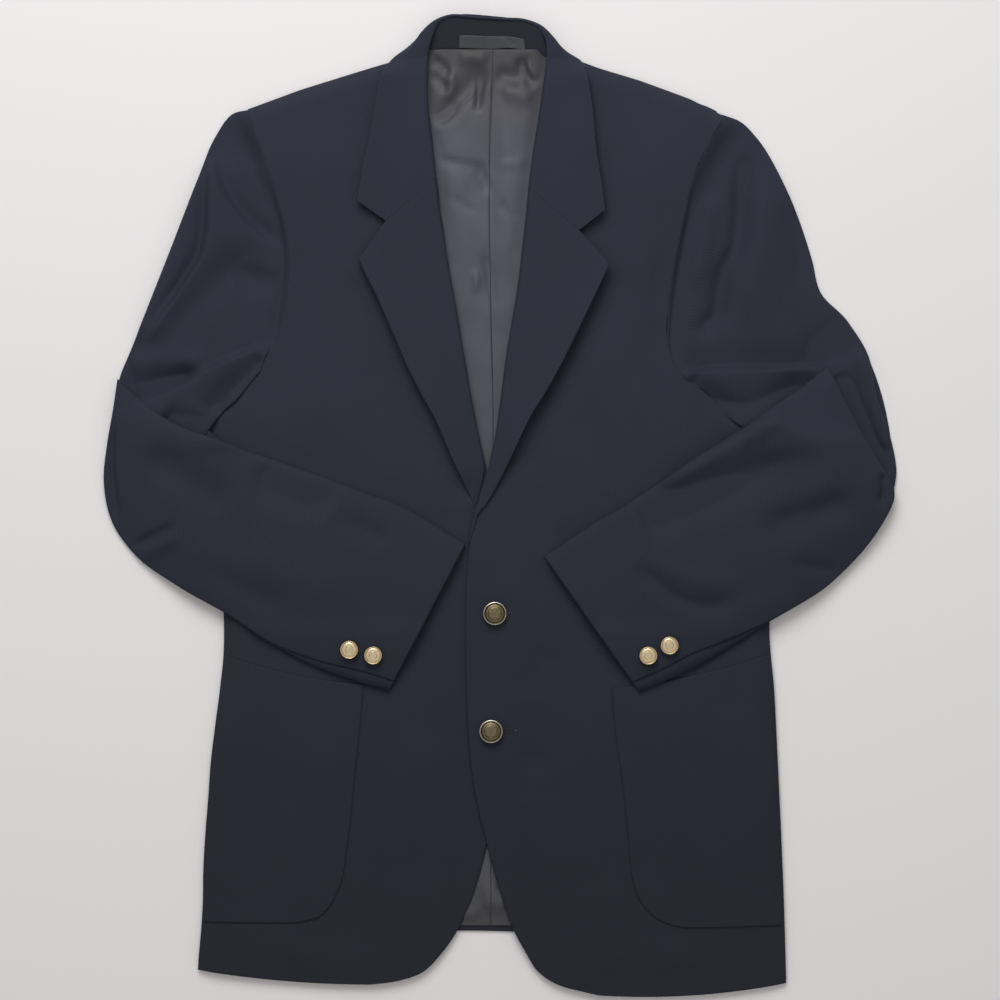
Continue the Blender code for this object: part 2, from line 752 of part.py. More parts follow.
def upper_heights(wearer, plan):
    rows = UPPER_SLEEVE_RIGHT if wearer == "right" else UPPER_SLEEVE_LEFT
    shares = np.linspace(0.0, 1.0, SLEEVE_ACROSS)
    heights = [front_top(wearer, side_x(wearer, plan[0, :, 1]), plan[0, :, 1])]
    for row in rows:
        middle, inner = row[5], row[6]
        line = SLEEVE_LEAST + (middle - SLEEVE_LEAST) * sleeve_swell(0.5 * shares)
        heights.append(line + (inner - middle) * smoothstep((shares - INNER_FROM) / (1.0 - INNER_FROM)))
    return np.array(heights) + upper_rise(wearer, plan)


def lower_plan(wearer):
    rows = LOWER_SLEEVE_RIGHT if wearer == "right" else LOWER_SLEEVE_LEFT
    shares = np.linspace(0.0, 1.0, SLEEVE_ACROSS)
    plan = []
    for outer_x, outer_y, inner_x, inner_y, bow, _, _ in rows:
        plan.append(across((outer_x, outer_y), (inner_x, inner_y), shares, (0.0, bow)))
    return np.array(plan)


def make_sleeves():
    shares = np.linspace(0.0, 1.0, SLEEVE_ACROSS)
    tops = {}
    for wearer in ("right", "left"):
        rows = LOWER_SLEEVE_RIGHT if wearer == "right" else LOWER_SLEEVE_LEFT
        upper = upper_plan(wearer)
        heights = upper_heights(wearer, upper)
        wall(f"top_sleeve_{wearer}_upper", lifted(upper, heights), SLEEVE_WALL, NAVY_WOOL)
        lower = lower_plan(wearer)
        bed = sleeve_bed(wearer, lower[..., 0], lower[..., 1])
        opened = smoothstep(np.arange(len(rows)) / TUCK_ROWS)[:, None]
        swell = SLEEVE_PRESSED + (SLEEVE_HOLLOW - SLEEVE_PRESSED) * sleeve_swell(shares) * opened
        tuck = np.array([row[5] for row in rows])[:, None]
        heights = bed + 2.0 * SLEEVE_WALL + swell + tuck
        tops[wearer] = lifted(lower, heights)
        wall(f"top_sleeve_{wearer}_lower", tops[wearer], SLEEVE_WALL, NAVY_WOOL)
        make_under_sleeve(wearer, rows, upper, lower)
    return tops


def make_under_sleeve(wearer, rows, upper, lower):
    """The under sleeve: the same sections, lower, with a strip more where it shows past the edge."""
    shares = np.linspace(0.0, 1.0, SLEEVE_ACROSS)
    first = UNDER_LOWER_FIRST[wearer]
    rise = upper_rise(wearer, upper)
    sections = [(line, 0.0, low) for line, low in zip(upper[: UNDER_UPPER_ROWS[wearer]], rise)]
    for outer_x, outer_y, inner_x, inner_y in UNDER_ELBOW[wearer]:
        sections.append((across((outer_x, outer_y), (inner_x, inner_y), shares), 0.0, None))
    sections += [(line, row[6], None) for row, line in zip(rows[first:], lower[first:])]
    grid = []
    for line, strip, low in sections:
        step = line[0] - line[1]
        start = line[:1] + step / np.linalg.norm(step) * max(UNDER_OVERHANG, strip)
        plan = np.concatenate([start, line])
        if low is None:
            low = sleeve_bed(wearer, plan[:, 0], plan[:, 1])
        else:
            low = np.concatenate([low[:1], low])
        grid.append([(x, y, z + SLEEVE_WALL) for (x, y), z in zip(plan, low)])
    wall(f"under_sleeve_{wearer}", np.array(grid), SLEEVE_WALL, NAVY_WOOL)


def make_pockets():
    shares = front_shares(POCKET_ACROSS, POCKET_DENSE)
    for wearer, rows in (("right", POCKET_RIGHT), ("left", POCKET_LEFT)):
        sign = 1.0 if wearer == "right" else -1.0
        plan = []
        for edge_x, edge_y, side_y, sag in rows:
            side = (side_x(wearer, side_y) + sign * POCKET_SIDE_INSET, side_y)
            plan.append(across((edge_x, edge_y), side, shares, (0.0, -sag)))
        plan = np.array(plan)
        heights = front_top(wearer, plan[..., 0], plan[..., 1]) + POCKET_GAP + POCKET_WALL
        wall(f"pocket_{wearer}", lifted(plan, heights), POCKET_WALL, NAVY_WOOL)


def height_at(grid, x, y):
    """Height of a grid's cloth at a place seen from above."""
    rows, columns = grid.shape[:2]
    index = np.arange(rows * columns).reshape(rows, columns)
    faces = []
    for i in range(rows - 1):
        for j in range(columns - 1):
            face = (index[i, j], index[i, j + 1], index[i + 1, j + 1], index[i + 1, j])
            faces.append([int(v) for v in face])
    tree = BVHTree.FromPolygons([Vector(p) for p in grid.reshape(-1, 3)], faces)
    return tree.ray_cast(Vector((x, y, 100.0)), Vector((0.0, 0.0, -1.0)))[0].z


def make_button(name, x, y, seat, diameter, kind):
    """A turned button with a raised rim."""
    radius = 0.5 * diameter
    foot = seat + BUTTON_LIFT
    turn = [2.0 * math.pi * k / BUTTON_SEGMENTS for k in range(BUTTON_SEGMENTS)]
    points = [(x, y, foot)]
    for share, height in BUTTON_PROFILE[1:-1]:
        for angle in turn:
            along, up = share * radius * math.cos(angle), share * radius * math.sin(angle)
            points.append((x + along, y + up, foot + height * radius))
    points.append((x, y, foot + BUTTON_PROFILE[-1][1] * radius))
    rings = len(BUTTON_PROFILE) - 2
    faces = []
    for k in range(BUTTON_SEGMENTS):
        following = (k + 1) % BUTTON_SEGMENTS
        faces.append([0, 1 + following, 1 + k])
        for ring in range(rings - 1):
            low, high = 1 + ring * BUTTON_SEGMENTS, 1 + (ring + 1) * BUTTON_SEGMENTS
            faces.append([low + k, low + following, high + following, high + k])
        last = 1 + (rings - 1) * BUTTON_SEGMENTS
        faces.append([last + k, last + following, len(points) - 1])
    add_object(name, points, faces, kind)


def make_buttons(fronts, sleeves):
    for place, x, y in FRONT_BUTTONS:
        seat = height_at(fronts["left"], x, y)
        make_button(f"front_button_{place}", x, y, seat, FRONT_BUTTON, AGED_BRASS)
    for place, x, y in CUFF_BUTTONS:
        seat = height_at(sleeves[place.split("_")[0]], x, y)
        make_button(f"cuff_button_{place}", x, y, seat, CUFF_BUTTON, BRIGHT_BRASS)


def main():
    for obj in list(bpy.data.objects):
        bpy.data.objects.remove(obj, do_unlink=True)
    make_back()
    make_lining()
    fronts = make_fronts()
    make_lapels()
    make_collar()
    make_stand()
    sleeves = make_sleeves()
    make_pockets()
    make_buttons(fronts, sleeves)


main()
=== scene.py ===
# %% [markdown]
# # A navy blazer, laid flat with its sleeves folded in
# A tailored jacket is sewn from flat cuts of cloth: a back, two fronts whose facings turn over as lapels, a collar
# on a stand, and for each arm a top sleeve and an under sleeve. Here it lies on its back, seen from straight above.
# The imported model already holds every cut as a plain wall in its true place. This script gives each one a finer
# shell on that form, with its creases, and then its cloth, its lining or its brass.

import math

import bmesh
import bpy
import numpy as np
from mathutils import Matrix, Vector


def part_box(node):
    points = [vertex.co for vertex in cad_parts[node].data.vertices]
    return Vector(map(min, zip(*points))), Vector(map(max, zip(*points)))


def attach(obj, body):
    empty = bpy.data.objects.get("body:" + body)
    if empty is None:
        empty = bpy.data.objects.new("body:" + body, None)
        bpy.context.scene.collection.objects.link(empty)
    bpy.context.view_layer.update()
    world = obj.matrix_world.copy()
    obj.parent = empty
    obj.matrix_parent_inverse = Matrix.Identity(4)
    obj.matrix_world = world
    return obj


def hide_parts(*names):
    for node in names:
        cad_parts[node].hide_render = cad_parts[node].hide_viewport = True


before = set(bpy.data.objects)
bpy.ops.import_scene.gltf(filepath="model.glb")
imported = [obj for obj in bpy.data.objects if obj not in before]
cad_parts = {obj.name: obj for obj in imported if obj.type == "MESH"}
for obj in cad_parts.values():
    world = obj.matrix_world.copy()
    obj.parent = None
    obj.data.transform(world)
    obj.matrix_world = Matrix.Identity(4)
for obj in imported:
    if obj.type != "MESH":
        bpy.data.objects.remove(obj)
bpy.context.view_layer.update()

# %% [markdown]
# ## Measures
# All sizes are in millimetres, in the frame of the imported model: X to the wearer's left, Y from hem to collar,
# Z up from the surface. Cloth is drawn in rows. Each row is one section across a cut, and smooth rows are
# worked out between them. It is how a cutter grades a pattern: a few measured lines, and fair curves through them.

# %% Walls of cloth and the air between them
MM = 0.001
WOOL_WALL = 2.0
SLEEVE_WALL = 1.5
LINING_WALL = 1.0
LABEL_WALL = 0.8
SEAM_GAP = 0.3
LAY_GAP = 0.8
# A front's height at its side seam, and the widths over which it rolls down to the side and the shoulder.
SIDE_TOP, SIDE_ROLL, SHOULDER_ROLL = 4.5, 18.0, 14.0
# Where the fronts lap, each moves up or down by this much.
LAP_LIFT = 1.5
# A cloth's rim rounds off by this share of its wall, and a crease from below rises by at most this share.
RIM_ROUND, GROOVE_MOST = 0.38, 0.7

# %% The body's outline and height
# Height of the top of the chest cloth: y, height.
BODY_HEIGHT = ((-407, 6.6), (-283, 7.8), (-100, 8.6), (100, 9.6), (250, 11.0), (375, 12.0))
# A shoulder pad lifts each front: x, y, then its reach along X and Y and its height.
PADS = ((-168, 285, 60, 48, 3.5), (150, 285, 60, 48, 3.5))
# The side seam and the armhole: y, x.
SIDE = {
    "right": (
        (-386, -251), (-333, -247), (-290, -246), (-259, -243.5), (-206, -239.5), (-164, -234), (-121, -229.5),
        (-91, -229.5), (-54, -232), (-21, -238), (11, -242), (46, -244), (61, -243), (71, -240), (79, -234),
        (90, -220), (104, -206), (118, -198), (131, -188), (145, -182), (161, -179), (180, -176), (205, -175),
        (225, -177), (248, -183), (271, -190), (300, -200), (315, -206), (326, -210),
    ),
    "left": (
        (-397, 237), (-328, 235), (-245, 231.5), (-154, 227), (-120, 225), (-102, 223), (-71, 225), (-29, 230),
        (21, 236), (44, 239), (53, 236), (60, 222), (66, 204), (81, 182), (98, 164), (112, 146), (120, 142),
        (133, 138), (149, 138), (187, 142), (215, 147), (233, 151), (255, 155), (270, 159), (284, 165),
        (302, 174), (323, 187),
    ),
}
# The shoulder line: x, y.
SHOULDER = (
    (-212, 327), (-166, 344), (-129, 355.5), (-108, 362), (-89, 367.5), (-62, 370), (40, 368), (68, 367),
    (83, 361.5), (116, 351.5), (157, 336.5), (189, 320.5),
)

# %% [markdown]
# ## Small helpers
# A row table is turned into a fine grid in two steps. First each section gets its points across, then a cubic
# curve joins the sections. The curve's slopes are weighted by the gaps between rows, so uneven rows stay fair.

# %% Curves
def smoothstep(value):
    part = np.clip(value, 0.0, 1.0)
    return part * part * (3.0 - 2.0 * part)


def roll_off(away, reach):
    """0 at a rounded edge and 1 past its reach, like a quarter circle."""
    near = 1.0 - np.clip(away / reach, 0.0, 1.0)
    return np.sqrt(1.0 - near * near)


def quarter_wave(share):
    """0 at a seam and 1 past a share of 1, like a quarter of a sine wave."""
    return np.sin(0.5 * math.pi * np.clip(share, 0.0, 1.0))


def across_sign(wearer):
    """The way out from the middle along X: -1 on the wearer's right and 1 on the left."""
    return -1.0 if wearer == "right" else 1.0


def fair_curve(rows, gaps, places):
    """The rows' values at places along them, on a smooth curve that passes through every row."""
    rows, gaps = np.array(rows, float), np.maximum(np.array(gaps, float), 1e-6)
    flat = rows.reshape(len(rows), -1)
    slopes = np.diff(flat, axis=0) / gaps[:, None]
    before, after = gaps[:-1, None], gaps[1:, None]
    inner = (slopes[:-1] * after + slopes[1:] * before) / (before + after)
    tangents = np.vstack([slopes[:1], inner, slopes[-1:]])
    starts = np.concatenate([[0.0], np.cumsum(gaps)])
    index = np.clip(np.searchsorted(starts, places, side="right") - 1, 0, len(gaps) - 1)
    gap = gaps[index][:, None]
    t = ((places - starts[index])[:, None]) / gap
    value = (2 * t**3 - 3 * t**2 + 1) * flat[index] + (t**3 - 2 * t**2 + t) * gap * tangents[index]
    value += (3 * t**2 - 2 * t**3) * flat[index + 1] + (t**3 - t**2) * gap * tangents[index + 1]
    return value.reshape(len(places), *rows.shape[1:])


def fair_table(table, spacing=2.0):
    """A two-column table, read finely along its first column."""
    rows = np.array(table, float)
    gaps = np.abs(np.diff(rows[:, 0]))
    return fair_curve(rows, gaps, np.linspace(0.0, gaps.sum(), int(gaps.sum() / spacing)))


def fair_path(points, spacing=3.0):
    points = np.array(points, float)
    gaps = np.linalg.norm(np.diff(points, axis=0), axis=1)
    return fair_curve(points, gaps, np.linspace(0.0, gaps.sum(), max(3, int(gaps.sum() / spacing))))


FINE_SIDE = {wearer: fair_table(rows) for wearer, rows in SIDE.items()}
FINE_SHOULDER = fair_table(SHOULDER)
FINE_HEIGHT = fair_table(BODY_HEIGHT)


def side_x(wearer, y):
    return np.interp(y, FINE_SIDE[wearer][:, 0], FINE_SIDE[wearer][:, 1])


def inside_side(wearer, x, y):
    """How far a point lies inside the body's side seam or armhole."""
    return (x - side_x(wearer, y)) * -across_sign(wearer)


# %% [markdown]
# ## Creases
# Real cloth gets its life from creases. Each one here is a line of a few points with a height and a width to
# either side, seen along its own direction. A narrow side and a wide side make the lip of a fold, and a
# negative height makes a trough. The slow waves are what a pressed cloth keeps of its own weight.

# %% Crease profile and slow waves
SOFT_ENDS = (0.3, 0.3)
WAVE_LENGTHS, WAVE_SLOPE = (150.0, 110.0, 80.0, 55.0), 0.002


def crease(x, y, height, left, right, fade_in, fade_out, points):
    """Height of one crease: its widths to the left and right of its direction, and how its ends fade."""
    line = fair_path(points)
    nearest = np.full(x.shape, 1e9)
    side, along = np.zeros(x.shape), np.zeros(x.shape)
    steps = len(line) - 1
    for k in range(steps):
        start, step = line[k], line[k + 1] - line[k]
        from_x, from_y = x - start[0], y - start[1]
        t = np.clip((from_x * step[0] + from_y * step[1]) / (step @ step), 0.0, 1.0)
        away = np.hypot(from_x - t * step[0], from_y - t * step[1])
        closer = away < nearest
        nearest = np.where(closer, away, nearest)
        side = np.where(closer, step[0] * from_y - step[1] * from_x, side)
        along = np.where(closer, (k + t) / steps, along)
    width = np.where(side > 0.0, left, right)
    fade = smoothstep(along / max(fade_in, 1e-3)) * smoothstep((1.0 - along) / max(fade_out, 1e-3))
    return height * fade * np.exp(-((nearest / width) ** 2))


def creased(x, y, creases):
    """All the creases of a cut. A row that doesn't say how its ends fade has soft ends."""
    total = np.zeros(x.shape)
    for height, left, right, *fades, points in creases:
        total += crease(x, y, height, left, right, *(fades or SOFT_ENDS), points)
    return total


def slow_waves(x, y, seed, strength):
    """A few long waves of about half a millimetre at a strength of 1, different for each seed."""
    dice = np.random.default_rng(seed)
    total = np.zeros(x.shape)
    for length in WAVE_LENGTHS:
        turn, phase = dice.uniform(0.0, math.pi), dice.uniform(0.0, 2.0 * math.pi)
        along = x * math.cos(turn) + y * math.sin(turn)
        total += WAVE_SLOPE * length * np.sin(2.0 * math.pi * along / length + phase)
    return strength * total


# %% [markdown]
# ## From a grid to a shell of cloth
# A cut of cloth is a thin closed shell: an upper side, an under side one wall lower, and a rounded rim. The points
# crowd together near the rims, where the cloth turns over. The piece's own UV map runs in metres along its thread,
# so that the weave keeps its scale and follows the piece.

# %% Grid and shell
# The first places in from a rim, and the length under which they draw together.
NEAR_RIM, NEAR_RIM_LENGTH = np.array([0.0, 0.5, 1.1, 1.9, 3.0, 4.5]), 24.0


def places_along(length, spacing):
    """Places from 0 to a length, an even spacing apart, and closer at both ends."""
    near = NEAR_RIM * min(1.0, length / NEAR_RIM_LENGTH)
    count = max(2, int((length - 2 * near[-1]) / spacing) + 1)
    return np.concatenate([near, np.linspace(near[-1], length - near[-1], count)[1:-1], length - near[::-1]])


def loft(sections, spacing):
    """A fine grid through sections that each hold the same number of points."""
    sections = np.array(sections, float)
    steps = np.linalg.norm(np.diff(sections[..., :2], axis=0), axis=2)
    gaps = 0.5 * (steps.mean(axis=1) + steps.max(axis=1))
    return fair_curve(sections, gaps, places_along(gaps.sum(), spacing))


def from_rims(plan):
    """Distance of each point from the four rims of its grid, along the cloth."""
    across = np.linalg.norm(np.diff(plan[..., :2], axis=1), axis=2)
    along = np.linalg.norm(np.diff(plan[..., :2], axis=0), axis=2)
    start = np.concatenate([np.zeros((len(plan), 1)), np.cumsum(across, axis=1)], axis=1)
    first = np.concatenate([np.zeros((1, plan.shape[1])), np.cumsum(along, axis=0)], axis=0)
    return {"start": start, "end": start[:, -1:] - start, "first": first, "last": first[-1:] - first}


def rounded(grid, rims):
    """Lowers the cloth towards its rims: for each rim, the radius and the drop of its rounding."""
    away = from_rims(grid)
    for rim, (radius, drop) in rims.items():
        grid[..., 2] -= drop * (1.0 - roll_off(away[rim], radius))
    return grid


def shell(name, grid, wall, finish, thread="plan", under=0.0, sewn=()):
    """A closed shell of cloth under a grid of its upper side. under raises its lower side.

    Its free rims are rounded, and those named in sewn stay square, so that two cuts meet in a flat seam.
    The thread map follows the frame's plan, or the piece's own rows where the cloth turns."""
    away = from_rims(grid)
    rim = np.minimum.reduce([away[side] for side in away if side not in sewn])
    rounding = RIM_ROUND * wall * (1.0 - roll_off(rim, wall))
    top, low = grid.copy(), grid.copy()
    top[..., 2] -= rounding
    low[..., 2] += rounding + np.minimum(under, GROOVE_MOST * wall) - wall
    rows, columns = grid.shape[:2]
    count = rows * columns
    index = np.arange(count).reshape(rows, columns)
    upper = np.stack([index[:-1, :-1], index[:-1, 1:], index[1:, 1:], index[1:, :-1]], axis=-1).reshape(-1, 4)
    edge = np.concatenate([index[0, ::-1], index[1:, 0], index[-1, 1:], index[-2:0:-1, -1]])
    following = np.roll(edge, -1)
    rim_faces = np.stack([edge, following, following + count, edge + count], axis=-1)
    faces = np.concatenate([upper, upper[:, ::-1] + count, rim_faces])
    corner_a, corner_b = grid[0, 1] - grid[0, 0], grid[1, 0] - grid[0, 0]
    if corner_a[0] * corner_b[1] - corner_a[1] * corner_b[0] < 0.0:
        faces = faces[:, ::-1]
    points = np.concatenate([top.reshape(-1, 3), low.reshape(-1, 3)]) * MM
    mesh = bpy.data.meshes.new(name)
    mesh.from_pydata(points.tolist(), [], faces.tolist())
    if thread == "plan":
        uv = grid[..., :2]
    else:
        middle = away["first"][:, columns // 2]
        uv = np.stack([away["start"], np.broadcast_to(middle[:, None], away["start"].shape)], axis=-1)
    uv = np.concatenate([uv.reshape(-1, 2)] * 2) * MM
    corners = np.empty(len(mesh.loops), np.int32)
    mesh.loops.foreach_get("vertex_index", corners)
    mesh.uv_layers.new(name="Thread").data.foreach_set("uv", uv[corners].astype(np.float32).ravel())
    mesh.shade_smooth()
    mesh.materials.append(finish)
    piece = bpy.data.objects.new(name, mesh)
    bpy.context.scene.collection.objects.link(piece)
    return piece


def bowed(start, end, shares, bow=(0.0, 0.0)):
    """Points along one section, bowed sideways in its middle."""
    start, end, bow = (np.array(v, float) for v in (start, end, bow))
    s = np.array(shares, float)[:, None]
    return start + (end - start) * s + 4.0 * s * (1.0 - s) * bow


def across_shares(length, spacing):
    places = places_along(length, spacing)
    return places / places[-1]


def sew(node, grid, wall, cut, held, rests_on, name=None, finish=None, slot="wool", **shape):
    """Makes the piece that stands for a node of the model. cut is its flat width and length, and its area; it is not
    used.
    """
    piece = shell(name or f"{node}_cloth", grid, wall, finish or navy_wool, **shape)
    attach(piece, "root")
    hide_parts(node)


# %% [markdown]
# ## Finishes
# Each finish starts from what the real material is. Colours are the photograph's own, written as sRGB hex values
# and turned to linear by one function. Every pattern is scaled from a real size in millimetres.

# %% Node helpers
def linear(hex_colour):
    """An sRGB hex colour as linear RGBA."""
    channels = [int(hex_colour[i : i + 2], 16) / 255.0 for i in (1, 3, 5)]
    return (*[c / 12.92 if c <= 0.04045 else ((c + 0.055) / 1.055) ** 2.4 for c in channels], 1.0)


def feed(finish, node, inputs):
    """Sets a node's inputs. Each is a plain value, or a node and the name of its output."""
    for key, value in inputs.items():
        if isinstance(value, tuple) and isinstance(value[0], bpy.types.Node):
            finish.node_tree.links.new(value[0].outputs[value[1]], node.inputs[key])
        else:
            node.inputs[key].default_value = value


def feed_shader(finish, inputs):
    feed(finish, finish.node_tree.nodes["Principled BSDF"], inputs)


def new_finish(name, colour, inputs):
    finish = bpy.data.materials.new(name)
    finish.use_nodes = True
    finish.diffuse_color = linear(colour)
    feed_shader(finish, {"Base Color": linear(colour), **inputs})
    return finish


def add_node(finish, kind, output, inputs=None, **settings):
    """Adds a node with its settings and inputs, and gives what another node's input takes."""
    node = finish.node_tree.nodes.new("ShaderNode" + kind)
    for key, value in settings.items():
        setattr(node, key, value)
    feed(finish, node, inputs or {})
    return node, output


def thread_map(finish):
    return add_node(finish, "UVMap", "UV", uv_map="Thread")


def own_place(finish):
    """Where a point is on the jacket, in metres: every piece's own origin is the frame's."""
    return add_node(finish, "TexCoord", "Object")


def noise(finish, place, grain_mm, detail, roughness=0.5):
    """Soft blobs of about this size, on a map in metres."""
    inputs = {"Vector": place, "Scale": 1.0 / (grain_mm * MM), "Detail": detail, "Roughness": roughness}
    return add_node(finish, "TexNoise", "Fac", inputs)


def ridges(finish, place, pitch_mm, direction, distortion, detail, detail_scale):
    """Parallel ridges this far apart. A Wave texture repeats every 2 pi / 10 units at scale 1."""
    inputs = {"Vector": place, "Scale": 2.0 * math.pi / 10.0 / (pitch_mm * MM)}
    inputs.update({"Distortion": distortion, "Detail": detail, "Detail Scale": detail_scale})
    looks = {"wave_type": "BANDS", "bands_direction": direction, "wave_profile": "SIN"}
    return add_node(finish, "TexWave", "Fac", inputs, **looks)


def ranged(finish, value, low, high, to_low=0.0, to_high=1.0, kind="LINEAR"):
    """Spreads the range from low to high over another one."""
    inputs = {"Value": value, "From Min": low, "From Max": high, "To Min": to_low, "To Max": to_high}
    return add_node(finish, "MapRange", "Result", inputs, interpolation_type=kind)


def blended(finish, share, first, second, kind="MIX"):
    """One colour into another by a share. The Mix node's colours are its sockets 6, 7 and output 2."""
    return add_node(finish, "Mix", 2, {0: share, 6: first, 7: second}, data_type="RGBA", blend_type=kind)


def added(finish, first, weight, second):
    """The first value times a weight, and the second."""
    return add_node(finish, "Math", "Value", {0: first, 1: weight, 2: second}, operation="MULTIPLY_ADD")


def painted_shade_between(finish, from_y, to_y, most=1.0):
    """Painted shade that grows from nothing to its most between two heights on the jacket, in millimetres."""
    jacket_y = add_node(finish, "SeparateXYZ", "Y", {"Vector": own_place(finish)})
    return ranged(finish, jacket_y, from_y * MM, to_y * MM, to_high=most, kind="SMOOTHSTEP")


def relief(finish, height, strength, depth_mm):
    """A fine relief that only bends the light."""
    return add_node(finish, "Bump", "Normal", {"Height": height, "Strength": strength, "Distance": depth_mm * MM})


# %% [markdown]
# ### Navy wool
# The shell is a worsted wool twill: hard-twisted yarns in fine diagonal wales, dyed navy, with a dry face that
# scatters light and a faint bloom of fibre ends along every fold. Real wales are about 0.6 mm apart, too fine
# for the picture, so they are drawn 1.9 mm apart and shallow. A slow noise varies the dye a little. The skirt
# of the jacket is painted greyer and a little darker than its chest: painted shade for the fainter light there.

# %% Wool twill
WALE_PITCH, YARN_SLUB, DYE_PATCH = 1.9, 1.1, 60.0
WALE_SHARE = 0.35
# Painted shade: between these heights, towards the hem, the navy is multiplied by this tint, greyer and a little
# darker.
SKIRT_SHADE_TOP, SKIRT_SHADE_HEM, SKIRT_SHADE_TINT = 120.0, -360.0, "#e7e7d8"
WOOL_FACE = {
    "Roughness": 0.86,
    "Sheen Weight": 0.10,
    "Sheen Roughness": 0.45,
    "Sheen Tint": linear("#9098b4"),
    "Specular IOR Level": 0.25,
}


def wool_twill(name, light, dark):
    finish = new_finish(name, dark, WOOL_FACE)
    thread = thread_map(finish)
    # Counted along the thread, diagonal wales are the root of two times their pitch apart.
    pitch = WALE_PITCH * math.sqrt(2.0)
    wales = ridges(finish, thread, pitch, "DIAGONAL", distortion=0.8, detail=2.0, detail_scale=1.5)
    slub = noise(finish, thread, YARN_SLUB, detail=3.0, roughness=0.6)
    yarn = added(finish, wales, WALE_SHARE, slub)
    weave = ranged(finish, yarn, low=0.35, high=1.0)
    colour = blended(finish, weave, linear(dark), linear(light))
    patches = noise(finish, thread, DYE_PATCH, detail=3.0, roughness=0.55)
    dye = ranged(finish, patches, low=0.3, high=0.7, to_low=0.96, to_high=1.04)
    dyed = add_node(finish, "VectorMath", 0, {0: colour, 3: dye}, operation="SCALE")
    # Painted shade on the skirt, greyer and darker towards the hem.
    wear_and_painted_light = blended(finish, painted_shade_between(finish, SKIRT_SHADE_TOP, SKIRT_SHADE_HEM), dyed, linear(SKIRT_SHADE_TINT), "MULTIPLY")
    feed_shader(finish, {"Base Color": wear_and_painted_light, "Normal": relief(finish, yarn, strength=0.2, depth_mm=0.2)})
    return finish


navy_wool = wool_twill("navy_worsted_wool_twill", "#2b2e3d", "#252833")
print("wool wales drawn", WALE_PITCH, "mm apart")

# %% [markdown]
# ### Satin lining and label
# The lining is a grey viscose satin. Its long floats of warp lie flat, so it mirrors the room softly, brighter
# along the thread than across it. It is left plain. It is painted a darker, warmer grey at the neck, as painted shade
# under the collar, and a little less at the hem, as painted shade between the fronts. The neck label is a tighter
# blue-grey satin ribbon, and it takes the same painted shade at the neck.

# %% Satins
SATIN_CLOUD, FLOAT_SHARE = 35.0, 0.25
# Painted shade: the satin is multiplied by this tint towards the neck, under the collar, and towards the hem, between
# the fronts.
NECK_SHADE_LOW, NECK_SHADE_HIGH = 290.0, 385.0
HEM_SHADE_LOW, HEM_SHADE_HIGH, HEM_SHADE_MOST = -345.0, -290.0, 0.85
SATIN_SHADE_TINT = "#d0c9b8"
SATIN_FACE = {"Specular IOR Level": 0.4, "Sheen Weight": 0.08, "Sheen Roughness": 0.3}


def satin(name, light, dark, roughness, float_pitch):
    finish = new_finish(name, dark, {"Roughness": roughness, **SATIN_FACE})
    thread = thread_map(finish)
    floats = ridges(finish, thread, float_pitch, "X", distortion=1.5, detail=3.0, detail_scale=2.0)
    mixed = added(finish, floats, FLOAT_SHARE, noise(finish, thread, SATIN_CLOUD, detail=4.0))
    colour = blended(finish, ranged(finish, mixed, low=0.35, high=0.95), linear(dark), linear(light))
    # Painted shade at the neck and at the hem.
    neck = painted_shade_between(finish, NECK_SHADE_LOW, NECK_SHADE_HIGH)
    hem = painted_shade_between(finish, HEM_SHADE_HIGH, HEM_SHADE_LOW, HEM_SHADE_MOST)
    either = add_node(finish, "Math", "Value", {0: neck, 1: hem}, operation="MAXIMUM")
    wear_and_painted_light = blended(finish, either, colour, linear(SATIN_SHADE_TINT), "MULTIPLY")
    feed_shader(finish, {"Base Color": wear_and_painted_light, "Normal": relief(finish, floats, strength=0.12, depth_mm=0.1)})
    return finish


grey_satin = satin("grey_viscose_satin", "#51525d", "#42434c", 0.58, 1.4)
label_ribbon = satin("blue_grey_satin_ribbon", "#57616f", "#454d59", 0.45, 1.2)
print("satins:", grey_satin.name, label_ribbon.name)

# %% [markdown]
# ### Stand cloth, brass and floor
# The inside of the stand is a dark melton under-collar cloth. The front buttons are cast brass with an aged,
# olive face and a rim that sleeves have rubbed bright, and its near-white colour is also a painted highlight.
# The cuff buttons are a paler polished brass.
# The buttonholes are bound with grey-blue silk twist. The floor is plain off-white card.

# %% Stand cloth, brasses and floor
dark_melton = wool_twill("dark_under_collar_melton", "#2a2c34", "#22252b")
silk_twist = wool_twill("grey_blue_silk_twist", "#5b5f6c", "#474b57")
PATINA_GRAIN, POLISH_GRAIN, CARD_FIBRE = 3.0, 0.5, 2.0


def cast_brass(name, colour, wear_and_painted_light, roughness):
    """Cast brass: a mottled patina that is rubbed brighter in patches, with fine polishing marks."""
    finish = new_finish(name, colour, {"Metallic": 1.0})
    place = own_place(finish)
    patina = noise(finish, place, PATINA_GRAIN, detail=4.0, roughness=0.6)
    polish = noise(finish, place, POLISH_GRAIN, detail=2.0)
    feed_shader(finish, {
        "Base Color": blended(finish, patina, linear(colour), linear(wear_and_painted_light)),
        "Roughness": ranged(finish, patina, low=0.3, high=0.7, to_low=roughness - 0.08, to_high=roughness + 0.1),
        "Normal": relief(finish, polish, strength=0.3, depth_mm=0.05),
    })
    return finish


aged_face = cast_brass("aged_cast_brass", "#68614c", "#82795c", 0.44)
# The rim's near-white colour is rubbed brass and also a painted highlight.
rim_rubbed_and_highlight = cast_brass("rubbed_brass_rim_painted_highlight", "#ece5d4", "#faf6ec", 0.40)
bright_brass = cast_brass("bright_polished_brass", "#cfbc96", "#e2d5b4", 0.30)

